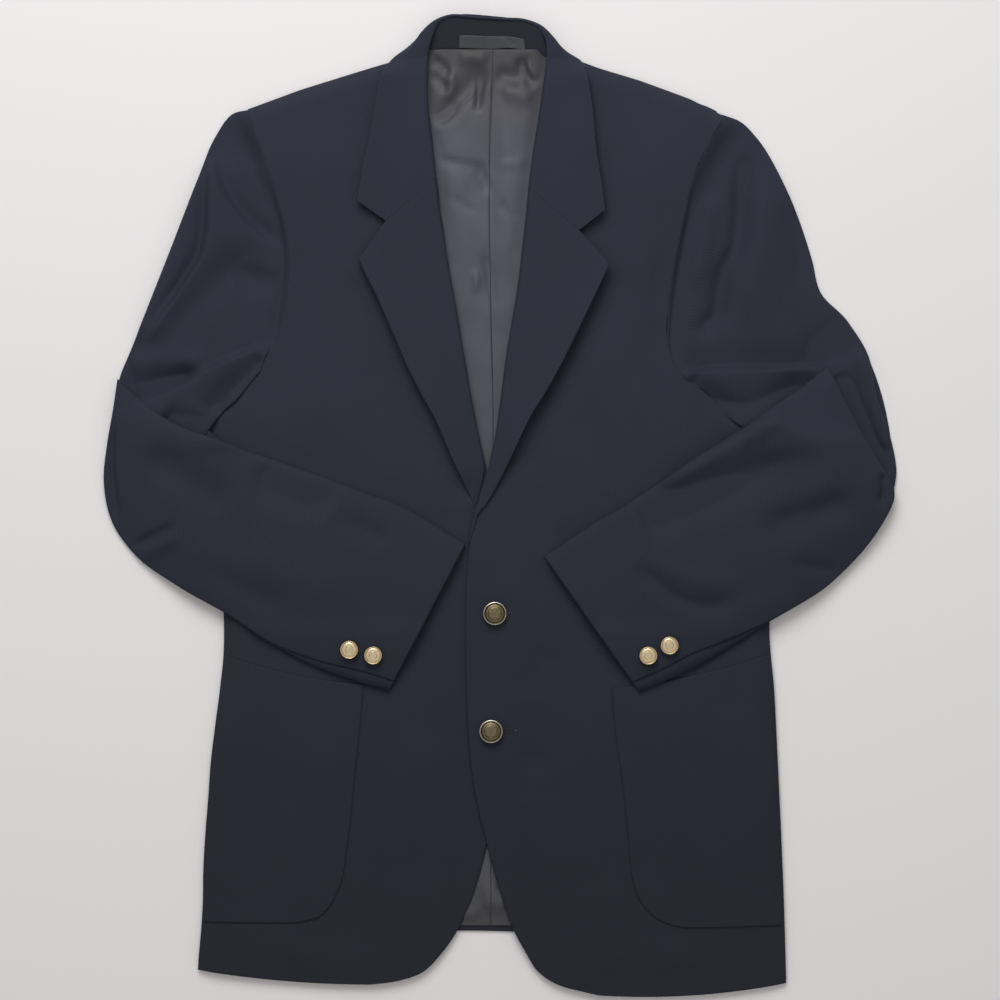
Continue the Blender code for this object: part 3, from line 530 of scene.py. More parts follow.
floor_card = new_finish("off_white_card", "#e8e6e7", {"Roughness": 0.9})
card_fibre = noise(floor_card, own_place(floor_card), CARD_FIBRE, detail=3.0)
feed_shader(floor_card, {"Normal": relief(floor_card, card_fibre, strength=0.05, depth_mm=0.05)})
print("brasses:", aged_face.name, rim_rubbed_and_highlight.name, bright_brass.name)

# %% [markdown]
# ## The body
# Back and fronts are sewn at the sides. A front rolls down to its side seam over a few millimetres, so the
# flat jacket has a soft rim. The left front laps over the right one along the middle: there the left rises a
# little and the right sinks under it. The lapels, pockets and sleeves lie on these same heights.

# %% Height of the chest cloth
LAP_CENTRE_X, LAP_HALF_WIDTH, LAP_FADE = -10.0, 45.0, 25.0
LAP_TOP, LAP_TOP_FADE = 110.0, 60.0
# Above this height the front's side isn't rolled down, because the sleeve is sewn to it there.
SEWN_FROM, SEWN_FADE = 40.0, 80.0


def body_height(x, y):
    """The height of the chest cloth inside its rims."""
    height = np.interp(y, FINE_HEIGHT[:, 0], FINE_HEIGHT[:, 1])
    for pad_x, pad_y, reach_x, reach_y, rise in PADS:
        height = height + rise * np.exp(-(((x - pad_x) / reach_x) ** 2) - ((y - pad_y) / reach_y) ** 2)
    return height


def front_level(wearer, x, y):
    """The height of a front's upper side, before its creases."""
    height = body_height(x, y)
    lap = smoothstep((LAP_HALF_WIDTH - abs(x - LAP_CENTRE_X)) / LAP_FADE)
    lap = lap * smoothstep((LAP_TOP - y) / LAP_TOP_FADE)
    height = height + lap * LAP_LIFT * across_sign(wearer)
    roll = quarter_wave(inside_side(wearer, x, y) / SIDE_ROLL)
    sewn = smoothstep((y - SEWN_FROM) / SEWN_FADE)
    height = SIDE_TOP + (height - SIDE_TOP) * (roll + (1.0 - roll) * sewn)
    below = (np.interp(x, FINE_SHOULDER[:, 0], FINE_SHOULDER[:, 1]) - y) / SHOULDER_ROLL
    return SIDE_TOP + (height - SIDE_TOP) * quarter_wave(below)


# %% [markdown]
# ### Fronts
# A front is drawn in rows from hem to shoulder. Each row starts at the front edge or the roll line and ends at
# the side seam or the armhole. The curved corner at the hem comes from rows that crowd together there.

# %% Rows and creases of the fronts
# Front edge or roll line x and y, side or armhole y, sag of the section towards the hem.
FRONT = {
    "right": (
        (-107, -398, -386, 3), (-85, -395, -368, 2), (-65, -388, -350, 1), (-50, -373.5, -330, 0),
        (-35, -352, -305, 0), (-20, -316, -275, 0), (-11, -282, -245, 0), (-1, -240, -215, 0),
        (5, -195, -185, 0), (8, -154, -152, 0), (9, -112, -121, 0), (8, -79, -91, 0), (6, -46, -54, 0),
        (0, -17, -21, 0), (-9, 18, 11, 0), (-17, 54, 46, 0), (-24, 87, 61, 0), (-27, 108, 75, 0),
        (-31, 129, 90, 0), (-39, 170, 118, 0), (-42, 191, 138, 0), (-45, 212, 161, 0), (-47, 228, 183, 0),
        (-50, 245, 205, 0), (-51, 258, 226, 0), (-53, 272, 248, 0), (-56, 300, 285, 0), (-60, 335, 308, 0),
        (-62, 368, 325, -6),
    ),
    "left": (
        (81, -407, -397, 5), (43, -396, -375, 3), (30, -386, -358, 2), (21, -371.5, -340, 1),
        (11, -353, -318, 0), (0, -322, -288, 0), (-11, -283, -250, 0), (-18, -255, -223, 0),
        (-24, -222, -195, 0), (-28, -164, -154, 0), (-29, -100, -102, 0), (-28, -54, -62, 0),
        (-24, -22, -29, 0), (-17, 0, 0, 0), (-11, 27, 21, 0), (-5, 54, 44, 0), (-2, 72, 56, 0),
        (0, 87, 66, 0), (5, 126, 90, 0), (12, 165, 120, 0), (15, 185, 140, 0), (17, 205, 161, 0),
        (19, 223, 183, 0), (21, 240, 205, 0), (22, 252, 222, 0), (23.5, 266, 240, 0), (27, 292, 272, 0),
        (32, 325, 300, 0), (38, 364, 321, -8),
    ),
}
# Each crease: height, its width to the left and to the right of its line, how its two ends fade as shares of
# its length where they aren't soft, and its points.
FRONT_RIGHT_CREASES = (
    # Pull from the lower button.
    (-1.4, 12, 16, ((-222.9, -203.3), (-183, -236.5), (-141.5, -268.1))),
    # Swell above the hem.
    (1.2, 14, 14, ((-207.9, -367.7), (-141.5, -376), (-83.4, -371))),
    # Swell down the front.
    (1.4, 22, 22, ((-66.8, -178.4), (-75.1, -244.8), (-87.6, -311.2))),
    # Swell of the chest.
    (1.2, 26, 28, ((-137.4, 311.2), (-143.2, 236.5), (-133.2, 153.5))),
    # Dip beside the lapel.
    (-3, 10, 18, 0.12, 0.1, ((-116.6, 205), (-100.8, 170.2), (-75.1, 110.4), (-50.2, 62.2), (-23.7, -2.5))),
    # Dip beside the forearm.
    (-2.2, 16, 10, 0.15, 0.15, ((-236.1, 57.3), (-193, 39), (-137.4, 20.8), (-83.4, -0.8), (-32, -31.5))),
    # Dip beside the cuff.
    (-1.6, 8, 8, 0.2, 0.2, ((-28.6, -35.7), (-58.5, -92.1), (-85.1, -145.2))),
    # Drape from the armhole.
    (-1.4, 7, 9, ((-161.4, 228.2), (-164.8, 170.2), (-173.1, 110.4))),
)
FRONT_LEFT_CREASES = (
    # Slack between the buttons.
    (-2, 12, 14, ((46.1, -117), (31.1, -138.6), (17.8, -161.8))),
    # Light streak.
    (0.7, 3, 3, ((6.2, -245.7), (32.8, -244.8), (57.7, -246.5))),
    # Small wrinkles by the lower button.
    (-0.8, 2.5, 2.5, ((11.2, -208.3), (26.1, -210.8), (41.1, -209.2))),
    # Second wrinkle.
    (-0.8, 2.5, 2.5, ((12.9, -216.6), (27.8, -218.3), (39.4, -215))),
    # Swell down the front.
    (1.4, 22, 22, ((61.8, -178.4), (66, -244.8), (75.9, -319.6))),
    # Swell above the hem.
    (1.2, 14, 14, ((49.4, -371), (115.8, -376), (198.8, -372.7))),
    # Swell of the chest.
    (1.2, 26, 24, ((109.1, 311.2), (115.8, 236.5), (105.8, 161.8))),
    # Dip beside the lapel.
    (-3.6, 20, 10, 0.1, 0.12, ((91.7, 201.7), (76.8, 170.2), (49.4, 112), (24.5, 70.5), (2.1, 24.1))),
    # Dip beside the forearm.
    (-2.2, 16, 10, 0.15, 0.15, ((36.1, -47.3), (85.9, -14.1), (122.4, 9.1), (172.2, 42.3), (205.4, 63.9))),
    # Dip beside the cuff.
    (-1.6, 8, 8, 0.2, 0.2, ((36.1, -45.6), (70.1, -97.1), (107.5, -146.9))),
    # Drape from the armhole.
    (-1.4, 9, 7, ((132.4, 219.9), (129.1, 161.8), (134, 107.1))),
)
FRONT_CREASES = {"right": FRONT_RIGHT_CREASES, "left": FRONT_LEFT_CREASES}
# Seeds of the slow waves.
FRONT_WAVES = {"right": 3, "left": 4}
# Width and length of each front's cut in metres, and its area.
FRONT_CUT = {"right": (0.30, 0.81, 0.166), "left": (0.31, 0.82, 0.171)}


def front_surface(wearer, x, y):
    """The height of a front's upper side, with its creases."""
    waves = slow_waves(x, y, FRONT_WAVES[wearer], strength=0.6)
    return front_level(wearer, x, y) + creased(x, y, FRONT_CREASES[wearer]) + waves


def body_sections(wearer, rows, shares, side_shift=0.0):
    """Sections from each row's edge to the side seam, or to a line beside it."""
    sections = []
    for edge_x, edge_y, side_y, sag in rows:
        side = (float(side_x(wearer, side_y)) + side_shift, side_y)
        sections.append(bowed((edge_x, edge_y), side, shares, (0.0, -sag)))
    return sections


# %% Make the fronts
FRONT_WIDTH, FRONT_MESH_ACROSS, FRONT_MESH_ALONG = 240.0, 2.8, 2.9
shoulder_x, shoulder_y = np.array(SHOULDER, float).T
for wearer, rows in FRONT.items():
    sections = body_sections(wearer, rows, across_shares(FRONT_WIDTH, FRONT_MESH_ACROSS))
    sections[-1][:, 1] = np.interp(sections[-1][:, 0], shoulder_x, shoulder_y)
    plan = loft(sections, FRONT_MESH_ALONG)
    grid = np.dstack([plan, front_surface(wearer, plan[..., 0], plan[..., 1])])
    rounded(grid, {"start": (2.5, 0.7), "end": (1.0, 0.25), "first": (2.5, 0.7), "last": (3.0, 1.0)})
    sew(f"front_{wearer}", grid, WOOL_WALL, FRONT_CUT[wearer], "laid", ["back_cloth"], sewn=("end",))

# %% [markdown]
# ### Back and lining
# The back lies flat on the surface, so its face is the underside. Its centre seam shows there as a fine groove.
# The satin lining inside shows in the neck opening and where the fronts part at the hem. It is cut loose, with a
# pleat down its centre seam, and its creases are what the eye reads first in the opening.

# %% Rows and creases of the back and its lining
# The back's rows run between the two fronts' side points. For the first ones: the rise of their ends, and the
# sag of their middles, which is negative because the hem arches up.
BACK_HEM_RISE = (6, 4, 2, 0)
BACK_HEM_SAG = (-31.5, -23, -17, -12, -8, -5, -3)
# Y, right x and left x of the rows above the armholes.
BACK_NECK_ROWS = ((340, -166, 142), (352, -126, 108), (361, -88, 64), (376, -57, 35))
BACK_TOP_INSET = np.array([2.0, 1.0])
# Y and x of the lining's centre seam, and the y of its rows.
LINING_SEAM = ((-352, -8), (0, -7), (87, -6), (170, -8), (261, -9), (324, -8), (377, -6))
LINING_ROWS = (-349.5, -320, -280, -220, -150, -80, 0, 70, 140, 200, 250, 300, 340, 377)
LINING_SEAM_GAP = 0.05
# How far the lining stays in from the side, its most width, and the heights where the armhole and neck take over.
LINING_INSET, LINING_REACH = 25.0, 200.0
LINING_ARMHOLE_Y, LINING_NECK_Y = 320.0, 300.0
# Y and the farthest the lining reaches from the middle, where it narrows to the neck.
LINING_NECK = {"right": ((300, 180), (340, 68), (377, 60)), "left": ((300, 160), (340, 47), (377, 38))}
CENTRE_SEAM_X = -8.0
BACK_UNDER_CREASES = (
    (0.5, 14, 20, ((-190, 180), (-120, 150), (-60, 160))),
    (0.5, 16, 12, ((60, 120), (120, 150), (150, 200))),
    (0.45, 12, 12, ((-180, -60), (-120, -90), (-50, -80))),
    (0.45, 12, 14, ((50, -110), (120, -80), (200, -100))),
    (0.4, 20, 20, ((-60, -200), (-70, -290), (-60, -370))),
    (0.4, 20, 20, ((80, -210), (90, -300), (80, -380))),
)
LINING_CREASES = (
    # Wrinkle under the neck.
    (-5.2, 5, 9, 0.2, 0.2, ((-8.7, 361), (-22, 346.1), (-36.1, 331.2), (-55.2, 312.9))),
    # Puff by the label.
    (3, 7, 4.5, ((-37.8, 369.3), (-18.7, 369.3), (-7.1, 367.7))),
    # Short stroke.
    (-3.4, 3, 4.5, ((-57.7, 371), (-48.6, 364.4), (-40.3, 352.8))),
    # Second stroke.
    (-3, 3, 4.5, ((-58.5, 357.7), (-49.4, 351.1), (-42.7, 338.6))),
    # Hollow by the seam.
    (-3.8, 3.5, 3, 0.2, 0.3, ((-17, 354.4), (-17.8, 339.5), (-20.3, 322.9))),
    # Dip across the right.
    (-3.8, 4.5, 7, ((-5.4, 357.7), (6.2, 356.1), (21.2, 352.8))),
    # Pocket at the roll line.
    (-4.8, 7, 5, 0.25, 0.25, ((14.5, 371), (19.5, 359.4), (29.5, 346.1))),
    # Curl in the pocket.
    (3.2, 2, 2.5, ((21.2, 367.7), (25.3, 359.4), (32.8, 352.8))),
    # Swell below the pocket.
    (2.6, 6, 8, ((-0.4, 339.5), (12.9, 341.1), (26.1, 332.8))),
    # Fold from the seam.
    (3, 2.5, 6, ((-12, 356.1), (-25.3, 339.5), (-40.3, 324.5))),
    # Swell over the left.
    (3, 5, 6, ((-46.1, 361), (-40.3, 349.4), (-45.2, 332.8))),
    # Cross crease, right half.
    (-2.2, 2.5, 6, 0.2, 0.2, ((-52.7, 288), (-40.3, 284.7), (-25.3, 281.4), (-8.7, 280.5))),
    # Cross crease, left half.
    (1.2, 2.5, 5, ((-6.2, 281.4), (9.5, 283), (24.5, 284.7))),
    # Hollow under it.
    (-2.4, 4, 6, 0.2, 0.4, ((-20.3, 279.7), (-13.7, 269.8), (-10.4, 253.1))),
    # Low wrinkle.
    (-2.3, 2.5, 4, ((-13.7, 213.3), (-9.5, 193.4), (-7.1, 166.8))),
    # Low curl.
    (2.6, 2.5, 3, ((-22, 195), (-19.5, 185.9), (-22, 175.1))),
    # Pleat beside the seam.
    (-1.4, 6, 1.5, 0.1, 0.1, ((-4.6, 376), (-6.2, 336.1), (-7.9, 286.3), (-7.9, 228.2), (-7.1, 170.2), (-4.6, 87.1))),
    # Long fold on the left.
    (1.2, 8, 8, ((6.2, 336.1), (6.2, 294.6), (5.4, 244.8), (2.9, 186.8))),
    # Long fold on the right.
    (1.2, 9, 9, ((-40.3, 326.2), (-36.1, 278.1), (-29.5, 219.9), (-22.8, 170.2))),
    # Small drag lines.
    (-1.2, 3, 3, ((-2.1, 253.1), (6.2, 241.5), (16.2, 234.9))),
    # Second drag line.
    (-1, 3, 3, ((-41.9, 256.5), (-32, 248.2), (-18.7, 243.2))),
    # Lobe at the hem.
    (2.2, 7, 3, 0.2, 0.2, ((-30.3, -343.6), (-25.3, -340.3), (-19.5, -343.6))),
    # Crest at the hem.
    (2.8, 16, 6, 0.15, 0.15, ((-16.2, -334.5), (-7.1, -331.2), (4.6, -333.7))),
    # Cleft in the crest.
    (-2.2, 2, 2.5, 0.2, 0.2, ((-18.7, -316.2), (-15.4, -327.8), (-11.2, -341.1))),
    # Second cleft.
    (-1.6, 3, 1.5, 0.2, 0.2, ((-4.6, -314.6), (-1.2, -322.9), (2.1, -327.8))),
)

# %% Make the back
BACK_WIDTH, BACK_MESH_ACROSS, BACK_MESH_ALONG = 480.0, 5.0, 6.0
SEAM_GROOVE_DEPTH, SEAM_GROOVE_WIDTH = 0.7, 2.2
sections = []
back_shares = across_shares(BACK_WIDTH, BACK_MESH_ACROSS)
for i, (right, left) in enumerate(zip(FRONT["right"], FRONT["left"])):
    rise = BACK_HEM_RISE[i] if i < len(BACK_HEM_RISE) else 0
    sag = BACK_HEM_SAG[i] if i < len(BACK_HEM_SAG) else 0
    start = (float(side_x("right", right[2])), right[2] + rise)
    end = (float(side_x("left", left[2])), left[2] + rise)
    if right is FRONT["right"][-1]:
        start, end = start + BACK_TOP_INSET * (1.0, -1.0), end - BACK_TOP_INSET
    sections.append(bowed(start, end, back_shares, (0.0, -sag)))
for y, right_x, left_x in BACK_NECK_ROWS:
    sections.append(bowed((right_x, y), (left_x, y), back_shares))
plan = loft(sections, BACK_MESH_ALONG)
x, y = plan[..., 0], plan[..., 1]
grid = np.dstack([plan, np.full(x.shape, WOOL_WALL)])
centre_seam = SEAM_GROOVE_DEPTH * np.exp(-(((x - CENTRE_SEAM_X) / SEAM_GROOVE_WIDTH) ** 2))
under = creased(x, y, BACK_UNDER_CREASES) + centre_seam
sew("back", grid, WOOL_WALL, (0.51, 0.80, 0.330), "laid", ["floor"], under=under)

# %% Make the lining
LINING_WIDTH, LINING_MESH_ACROSS, LINING_MESH_ALONG = 200.0, 3.0, 3.2
LINING_WAVES = 8
# The lining is loose: it puffs beside its centre seam, and more in the opening. Each has its height, where it
# starts and how far it takes to grow along Y, and the first its half width and fade along X.
SEAM_PUFF, SEAM_PUFF_FROM, SEAM_PUFF_FADE, SEAM_PUFF_HALF, SEAM_PUFF_EDGE = 1.6, 60.0, 120.0, 75.0, 40.0
NECK_PUFF, NECK_PUFF_FROM, NECK_PUFF_FADE = 2.2, 180.0, 90.0
OPENING_FADE = 12.0
PRESSED_DEPTH = 0.2
# The fronts' rows from this one up start at the roll line.
FIRST_ROLL_ROW = 13
fine_seam = fair_table(LINING_SEAM)
lining_level = WOOL_WALL + SEAM_GAP + LINING_WALL


def in_opening(x, y):
    """0 under the two roll lines and 1 a little way inside them."""
    rolls = {side: np.array([row[:2] for row in rows[FIRST_ROLL_ROW:]], float) for side, rows in FRONT.items()}
    right_edge, left_edge = (np.interp(y, rolls[side][:, 1], rolls[side][:, 0]) for side in ("right", "left"))
    return smoothstep(np.minimum(x - right_edge, left_edge - x) / OPENING_FADE)


for wearer in ("right", "left"):
    sign = across_sign(wearer)
    shares = across_shares(LINING_WIDTH, LINING_MESH_ACROSS)
    sections = []
    for y in LINING_ROWS:
        seam = float(np.interp(y, fine_seam[:, 0], fine_seam[:, 1])) + sign * LINING_SEAM_GAP
        reach = min(abs(float(side_x(wearer, min(y, LINING_ARMHOLE_Y)))) - LINING_INSET, LINING_REACH)
        if y > LINING_NECK_Y:
            reach = min(reach, float(np.interp(y, *np.array(LINING_NECK[wearer], float).T)))
        sections.append(bowed((seam, y), (sign * reach, y), shares))
    plan = loft(sections, LINING_MESH_ALONG)
    x, y = plan[..., 0], plan[..., 1]
    beside_seam = smoothstep((SEAM_PUFF_HALF - abs(x - CENTRE_SEAM_X)) / SEAM_PUFF_EDGE)
    puff = SEAM_PUFF * smoothstep((y - SEAM_PUFF_FROM) / SEAM_PUFF_FADE) * beside_seam
    puff += NECK_PUFF * smoothstep((y - NECK_PUFF_FROM) / NECK_PUFF_FADE) * in_opening(x, y)
    folds = creased(x, y, LINING_CREASES) + slow_waves(x, y, LINING_WAVES, strength=0.5)
    height = lining_level + puff + np.maximum(folds, -puff - PRESSED_DEPTH)
    grid = rounded(np.dstack([plan, height]), {"start": (1.2, 0.3)})
    sew(
        f"back_lining_{wearer}", grid, LINING_WALL, (0.225, 0.745, 0.135), "laid", ["back_cloth"],
        name=f"lining_{wearer}_satin", finish=grey_satin, slot="lining", sewn=("start",),
    )

# %% [markdown]
# ## Lapels, collar and stand
# A lapel is the front's own facing turned over along the roll line. The collar turns over its stand in the same
# way and meets the lapels at the gorge seams. Each is drawn in rows of three points: on the roll, half-way
# across and on the outer edge. The roll is round, and the outer edge stands free of the chest and shades it.

# %% Rows of the lapels and the collar
# Roll line x and y, middle x and y, outer edge x and y, lift of the outer edge.
LAPEL = {
    "right": (
        (-53, 270, -95, 234, -117, 202, 3.4), (-51, 250, -88, 216, -110, 187, 3.5),
        (-47, 224, -79, 194, -102, 171, 3.6), (-41, 188, -69, 166, -90, 144, 3.6),
        (-35, 154, -58, 137, -79, 118, 3.6), (-29, 118, -48, 106, -66, 92, 3.5),
        (-23, 84, -37, 78, -52, 66, 3.4), (-17, 52, -28, 48, -40, 38, 3.2),
        (-13.5, 28, -21, 26, -30, 17, 3.0), (-17.5, 8, -20, 7, -23.5, 2, 2.8), (-18.5, 2, -20, 0, -22, -4, 2.8),
    ),
    "left": (
        (23, 262, 65, 226, 90, 198, 4.6), (21, 240, 59, 207, 83, 183, 4.8),
        (18, 212, 51, 184, 74, 164, 5.0), (14, 180, 42, 157, 63, 141, 5.2),
        (9, 150, 33, 130, 50, 115, 5.2), (4, 119, 23, 102, 37, 92, 5.0), (0, 87, 14, 74, 24, 71, 4.6),
        (-5, 54, 5, 48, 13, 48, 4.0), (-11, 27, -5, 22, 1, 23, 3.4), (-18, 4, -14, 0, -11, 1, 3.0),
        (-21.5, -8, -20, -9, -18, -8, 2.9), (-24.4, -20, -23.2, -21, -21.4, -20, 2.9),
        (-26.6, -32, -26.0, -32.5, -25.2, -32, 2.9),
    ),
}
# Roll x and y, middle x and y, outer edge x and y, and how far the row turns down behind the neck.
COLLAR = (
    (-52.8, 270.1, -94.7, 234.2, -118.5, 250.5, 0), (-55, 290, -88, 268, -114, 277, 0),
    (-58, 312, -84, 303, -108, 305, 0), (-60, 334, -80, 331, -103, 333, 0), (-60, 353, -79, 353, -98, 355, 0),
    (-60, 368, -77, 370, -90, 369, 0.55), (-58.5, 379, -72, 380, -78, 379, 1),
    (-55.5, 388.5, -65.5, 390.5, -67, 388.5, 1), (-51, 397, -55, 400, -56.5, 398.5, 1),
    (-42, 402, -42, 405, -42, 403.7, 1), (-22, 401, -22, 403.8, -22, 402.5, 1), (0, 399.6, 0, 402.5, 0, 401.2, 1),
    (20, 398, 20.5, 401.2, 20.5, 399.8, 1), (31, 392.8, 34, 396, 34, 394.4, 1),
    (36.5, 385, 43, 387.5, 43.5, 385.5, 1), (38, 373, 51, 376.5, 56, 375.5, 1),
    (37, 360, 55, 366, 67.5, 366.5, 0.45), (35, 343, 55, 350, 72, 351, 0), (31, 318, 54, 325, 76, 325, 0),
    (27, 294, 53, 295, 79, 295, 0), (25, 279, 56, 262, 83, 268, 0), (22.9, 262.1, 64.7, 226.2, 86.5, 243, 0),
)
LEAF_MESH = 1.6
LEAF_ROLL = 6.0
LEAF_EDGE_LIFT = 3.6
LEAF_BASE = WOOL_WALL + LAY_GAP + 0.2
# Height of the free outer edge and of the swell beside the roll, and how far up from the break each grows.
FREE_EDGE, FREE_EDGE_GROWS = {"right": 5.0, "left": 7.5}, 60.0
LEAF_SWELL, LEAF_SWELL_GROWS = {"right": 3.0, "left": 4.0}, 90.0


def leaf_plan(rows, width):
    """Fine rows and a fine plan of a lapel or collar, through each row's roll, middle and edge."""
    table = np.array(rows, float)
    steps = np.linalg.norm(np.diff(table[:, :6].reshape(-1, 3, 2), axis=0), axis=2)
    gaps = 0.5 * (steps.mean(axis=1) + steps.max(axis=1))
    fine = fair_curve(table, gaps, places_along(gaps.sum(), LEAF_MESH))
    shares = across_shares(width, LEAF_MESH)
    # One column lies right on the middle line, where the plan turns.
    shares[np.abs(shares - 0.5).argmin()] = 0.5
    s = shares[None, :, None]
    roll, middle, edge = (fine[:, None, k : k + 2] for k in (0, 2, 4))
    plan = np.where(s < 0.5, roll + (middle - roll) * 2.0 * s, middle + (edge - middle) * (2.0 * s - 1.0))
    return fine, s[..., 0], plan


def leaf_height(wearer, fine, s, plan, edge_lift):
    """Height of a turned leaf: rolled at the roll line, swelling beside it, free at its outer edge."""
    x, y = plan[..., 0], plan[..., 1]
    roll_x, roll_y = fine[:, :1], fine[:, 1:2]
    away = np.hypot(x - roll_x, y - roll_y)
    swell = LEAF_SWELL[wearer] * (1.0 - s) ** 1.5 * smoothstep(roll_y / LEAF_SWELL_GROWS)
    free = FREE_EDGE[wearer] * s * s * smoothstep(roll_y / FREE_EDGE_GROWS)
    rise = (edge_lift - LEAF_BASE) * smoothstep(s * 1.5) + swell + free
    return front_level(wearer, x, y) + LEAF_BASE + rise * roll_off(away, LEAF_ROLL)


# %% Make the lapels
LAPEL_WIDTH = 72.0
# At the break, where the roll ends, the lapel sinks into the front's edge: over this length, to this share.
BREAK_LENGTH, BREAK_RISE = 34.0, 0.22
LAPEL_CREASES = {
    "right": ((-0.5, 9, 9, ((-60, 232), (-52, 190), (-44, 150))),),
    "left": ((-0.5, 9, 9, ((40, 225), (34, 185), (26, 150))),),
}
for wearer, rows in LAPEL.items():
    fine, s, plan = leaf_plan(rows, LAPEL_WIDTH)
    chest = front_level(wearer, plan[..., 0], plan[..., 1])
    edge_lift = fine[:, 6:7]
    rise = leaf_height(wearer, fine, s, plan, edge_lift) - chest
    rise += creased(plan[..., 0], plan[..., 1], LAPEL_CREASES[wearer])
    sink = BREAK_RISE + (1.0 - BREAK_RISE) * smoothstep(from_rims(plan)["last"] / BREAK_LENGTH)
    grid = rounded(np.dstack([plan, chest + rise * sink]), {"end": (1.8, 0.6), "first": (0.6, 0.1)})
    lies_on = [f"front_{wearer}_cloth"]
    sew(f"lapel_{wearer}", grid, WOOL_WALL, (0.09, 0.29, 0.0125), "folded", lies_on, thread="piece", sewn=("first",))

# %% [markdown]
# The collar is one long leaf. Behind the neck its rows turn down on the far side of the stand, so from above
# only the round fold shows there.

# %% Make the collar
COLLAR_WIDTH = 70.0
# Behind the neck: the height of the roll line, the rise of its round fold, and the height of the hidden edge.
COLLAR_TOP, COLLAR_FOLD, COLLAR_FOOT = 13.0, 1.2, WOOL_WALL + 0.4
fine, s, plan = leaf_plan(COLLAR, COLLAR_WIDTH)
right_leaf, left_leaf = (leaf_height(wearer, fine, s, plan, LEAF_EDGE_LIFT) for wearer in ("right", "left"))
leaf = np.where(fine[:, :1] > CENTRE_SEAM_X, left_leaf, right_leaf)
hang = COLLAR_TOP + COLLAR_FOLD * np.sin(math.pi * np.minimum(1.0, 2.0 * s))
hang = hang - (COLLAR_TOP - COLLAR_FOOT) * np.clip(2.0 * s - 1.0, 0.0, 1.0)
turned_down = np.clip(fine[:, 6:7], 0.0, 1.0)
height = leaf + (hang - leaf) * turned_down
grid = rounded(np.dstack([plan, height]), {"end": (1.8, 0.6), "first": (0.6, 0.1), "last": (0.6, 0.1)})
lies_on = ["collar_stand_cloth", "front_right_cloth"]
sew("collar", grid, WOOL_WALL, (0.075, 0.44, 0.0185), "folded", lies_on, thread="piece", sewn=("first", "last"))

# %% [markdown]
# The stand is the collar's upright inner band. It leans back behind the neck, and the label is sewn to it.

# %% Make the stand and the label
# Foot x and y, head x and y.
STAND = (
    (-60, 379.5, -50, 398.3), (-35, 379.5, -34, 401.6), (-7, 378.8, -10, 400.6), (9, 379.3, 8, 399),
    (21, 377, 19, 396.9), (37, 372.8, 30.3, 391.8),
)
# How far its cloth runs on under the collar's fold, and down behind the lining.
STAND_ENDS, STAND_UP, STAND_DOWN = 0.04, 0.16, -0.16
STAND_FOOT, STAND_HEAD = 5.8, 12.3
STAND_WIDTH, STAND_HEIGHT, STAND_WAVES = 108.0, 30.0, 5
# The label's two ends along X, its rise from the stand's foot, and its air and ripple over the stand.
LABEL_X, LABEL_WIDTH = (-34.5, 20.5), 55.0
LABEL_RISE, LABEL_HEIGHT = (-0.07, 0.40), 10.5
LABEL_GAP, LABEL_RIPPLE, LABEL_RIPPLE_LENGTH = 0.5, 0.25, 4.5
LABEL_CREASES = (
    (-0.5, 2, 2.5, 0.0, 0.0, ((-11.2, 394), (-11.2, 374))),
    (-0.5, 3, 1.5, 0.1, 0.1, ((-4, 391), (3, 387), (10, 379))),
)


def stand_surface(shares, rises):
    """A grid on the inside of the stand: shares run across the neck, rises from its foot to its head."""
    table = np.array(STAND, float)
    gaps = np.linalg.norm(np.diff(table[:, :2], axis=0), axis=1)
    at = np.asarray(shares) * gaps.sum()
    # Past its two ends the stand runs straight on along X.
    past = at - np.clip(at, 0.0, gaps.sum())
    rows = fair_curve(table, gaps, at - past)
    rows = rows + past[:, None] * np.array([1.0, 0.0, 1.0, 0.0])
    rise = np.asarray(rises)[:, None, None]
    plan = rows[None, :, :2] * (1.0 - rise) + rows[None, :, 2:] * rise
    height = STAND_FOOT + (STAND_HEAD - STAND_FOOT) * rise[..., 0] * np.ones(plan.shape[:2])
    return np.dstack([plan, height])


across_neck = (1.0 + 2.0 * STAND_ENDS) * across_shares(STAND_WIDTH, spacing=1.6) - STAND_ENDS
up_stand = STAND_DOWN + (1.0 + STAND_UP - STAND_DOWN) * across_shares(STAND_HEIGHT, spacing=1.2)
grid = stand_surface(across_neck, up_stand)
grid[..., 2] += slow_waves(grid[..., 0], grid[..., 1], STAND_WAVES, strength=0.25)
rounded(grid, {"first": (2.0, 0.6)})
sew(
    "collar_stand", grid, WOOL_WALL, (0.120, 0.036, 0.0032), "folded", ["collar_cloth"],
    finish=dark_melton, thread="piece",
)

# Where along the stand the label's two ends lie.
shares = np.linspace(0.0, 1.0, 201)
foot_x = stand_surface(shares, [0.0])[0, :, 0]
first, last = (float(np.interp(edge, foot_x, shares)) for edge in LABEL_X)
label_shares = first + (last - first) * across_shares(LABEL_WIDTH, spacing=1.0)
label_rises = LABEL_RISE[0] + (LABEL_RISE[1] - LABEL_RISE[0]) * across_shares(LABEL_HEIGHT, spacing=0.8)
grid = stand_surface(label_shares, label_rises)
grid[..., 2] += creased(grid[..., 0], grid[..., 1], LABEL_CREASES)
grid[..., 2] += LABEL_GAP + LABEL_WALL + LABEL_RIPPLE * np.sin(grid[..., 0] / LABEL_RIPPLE_LENGTH)
rounded(grid, {"last": (1.0, 0.3)})
sew(
    "neck_label", grid, LABEL_WALL, (0.057, 0.013, 0.00066), "laid", ["collar_stand_cloth"],
    name="neck_label_ribbon", finish=label_ribbon, slot="label", thread="piece",
)

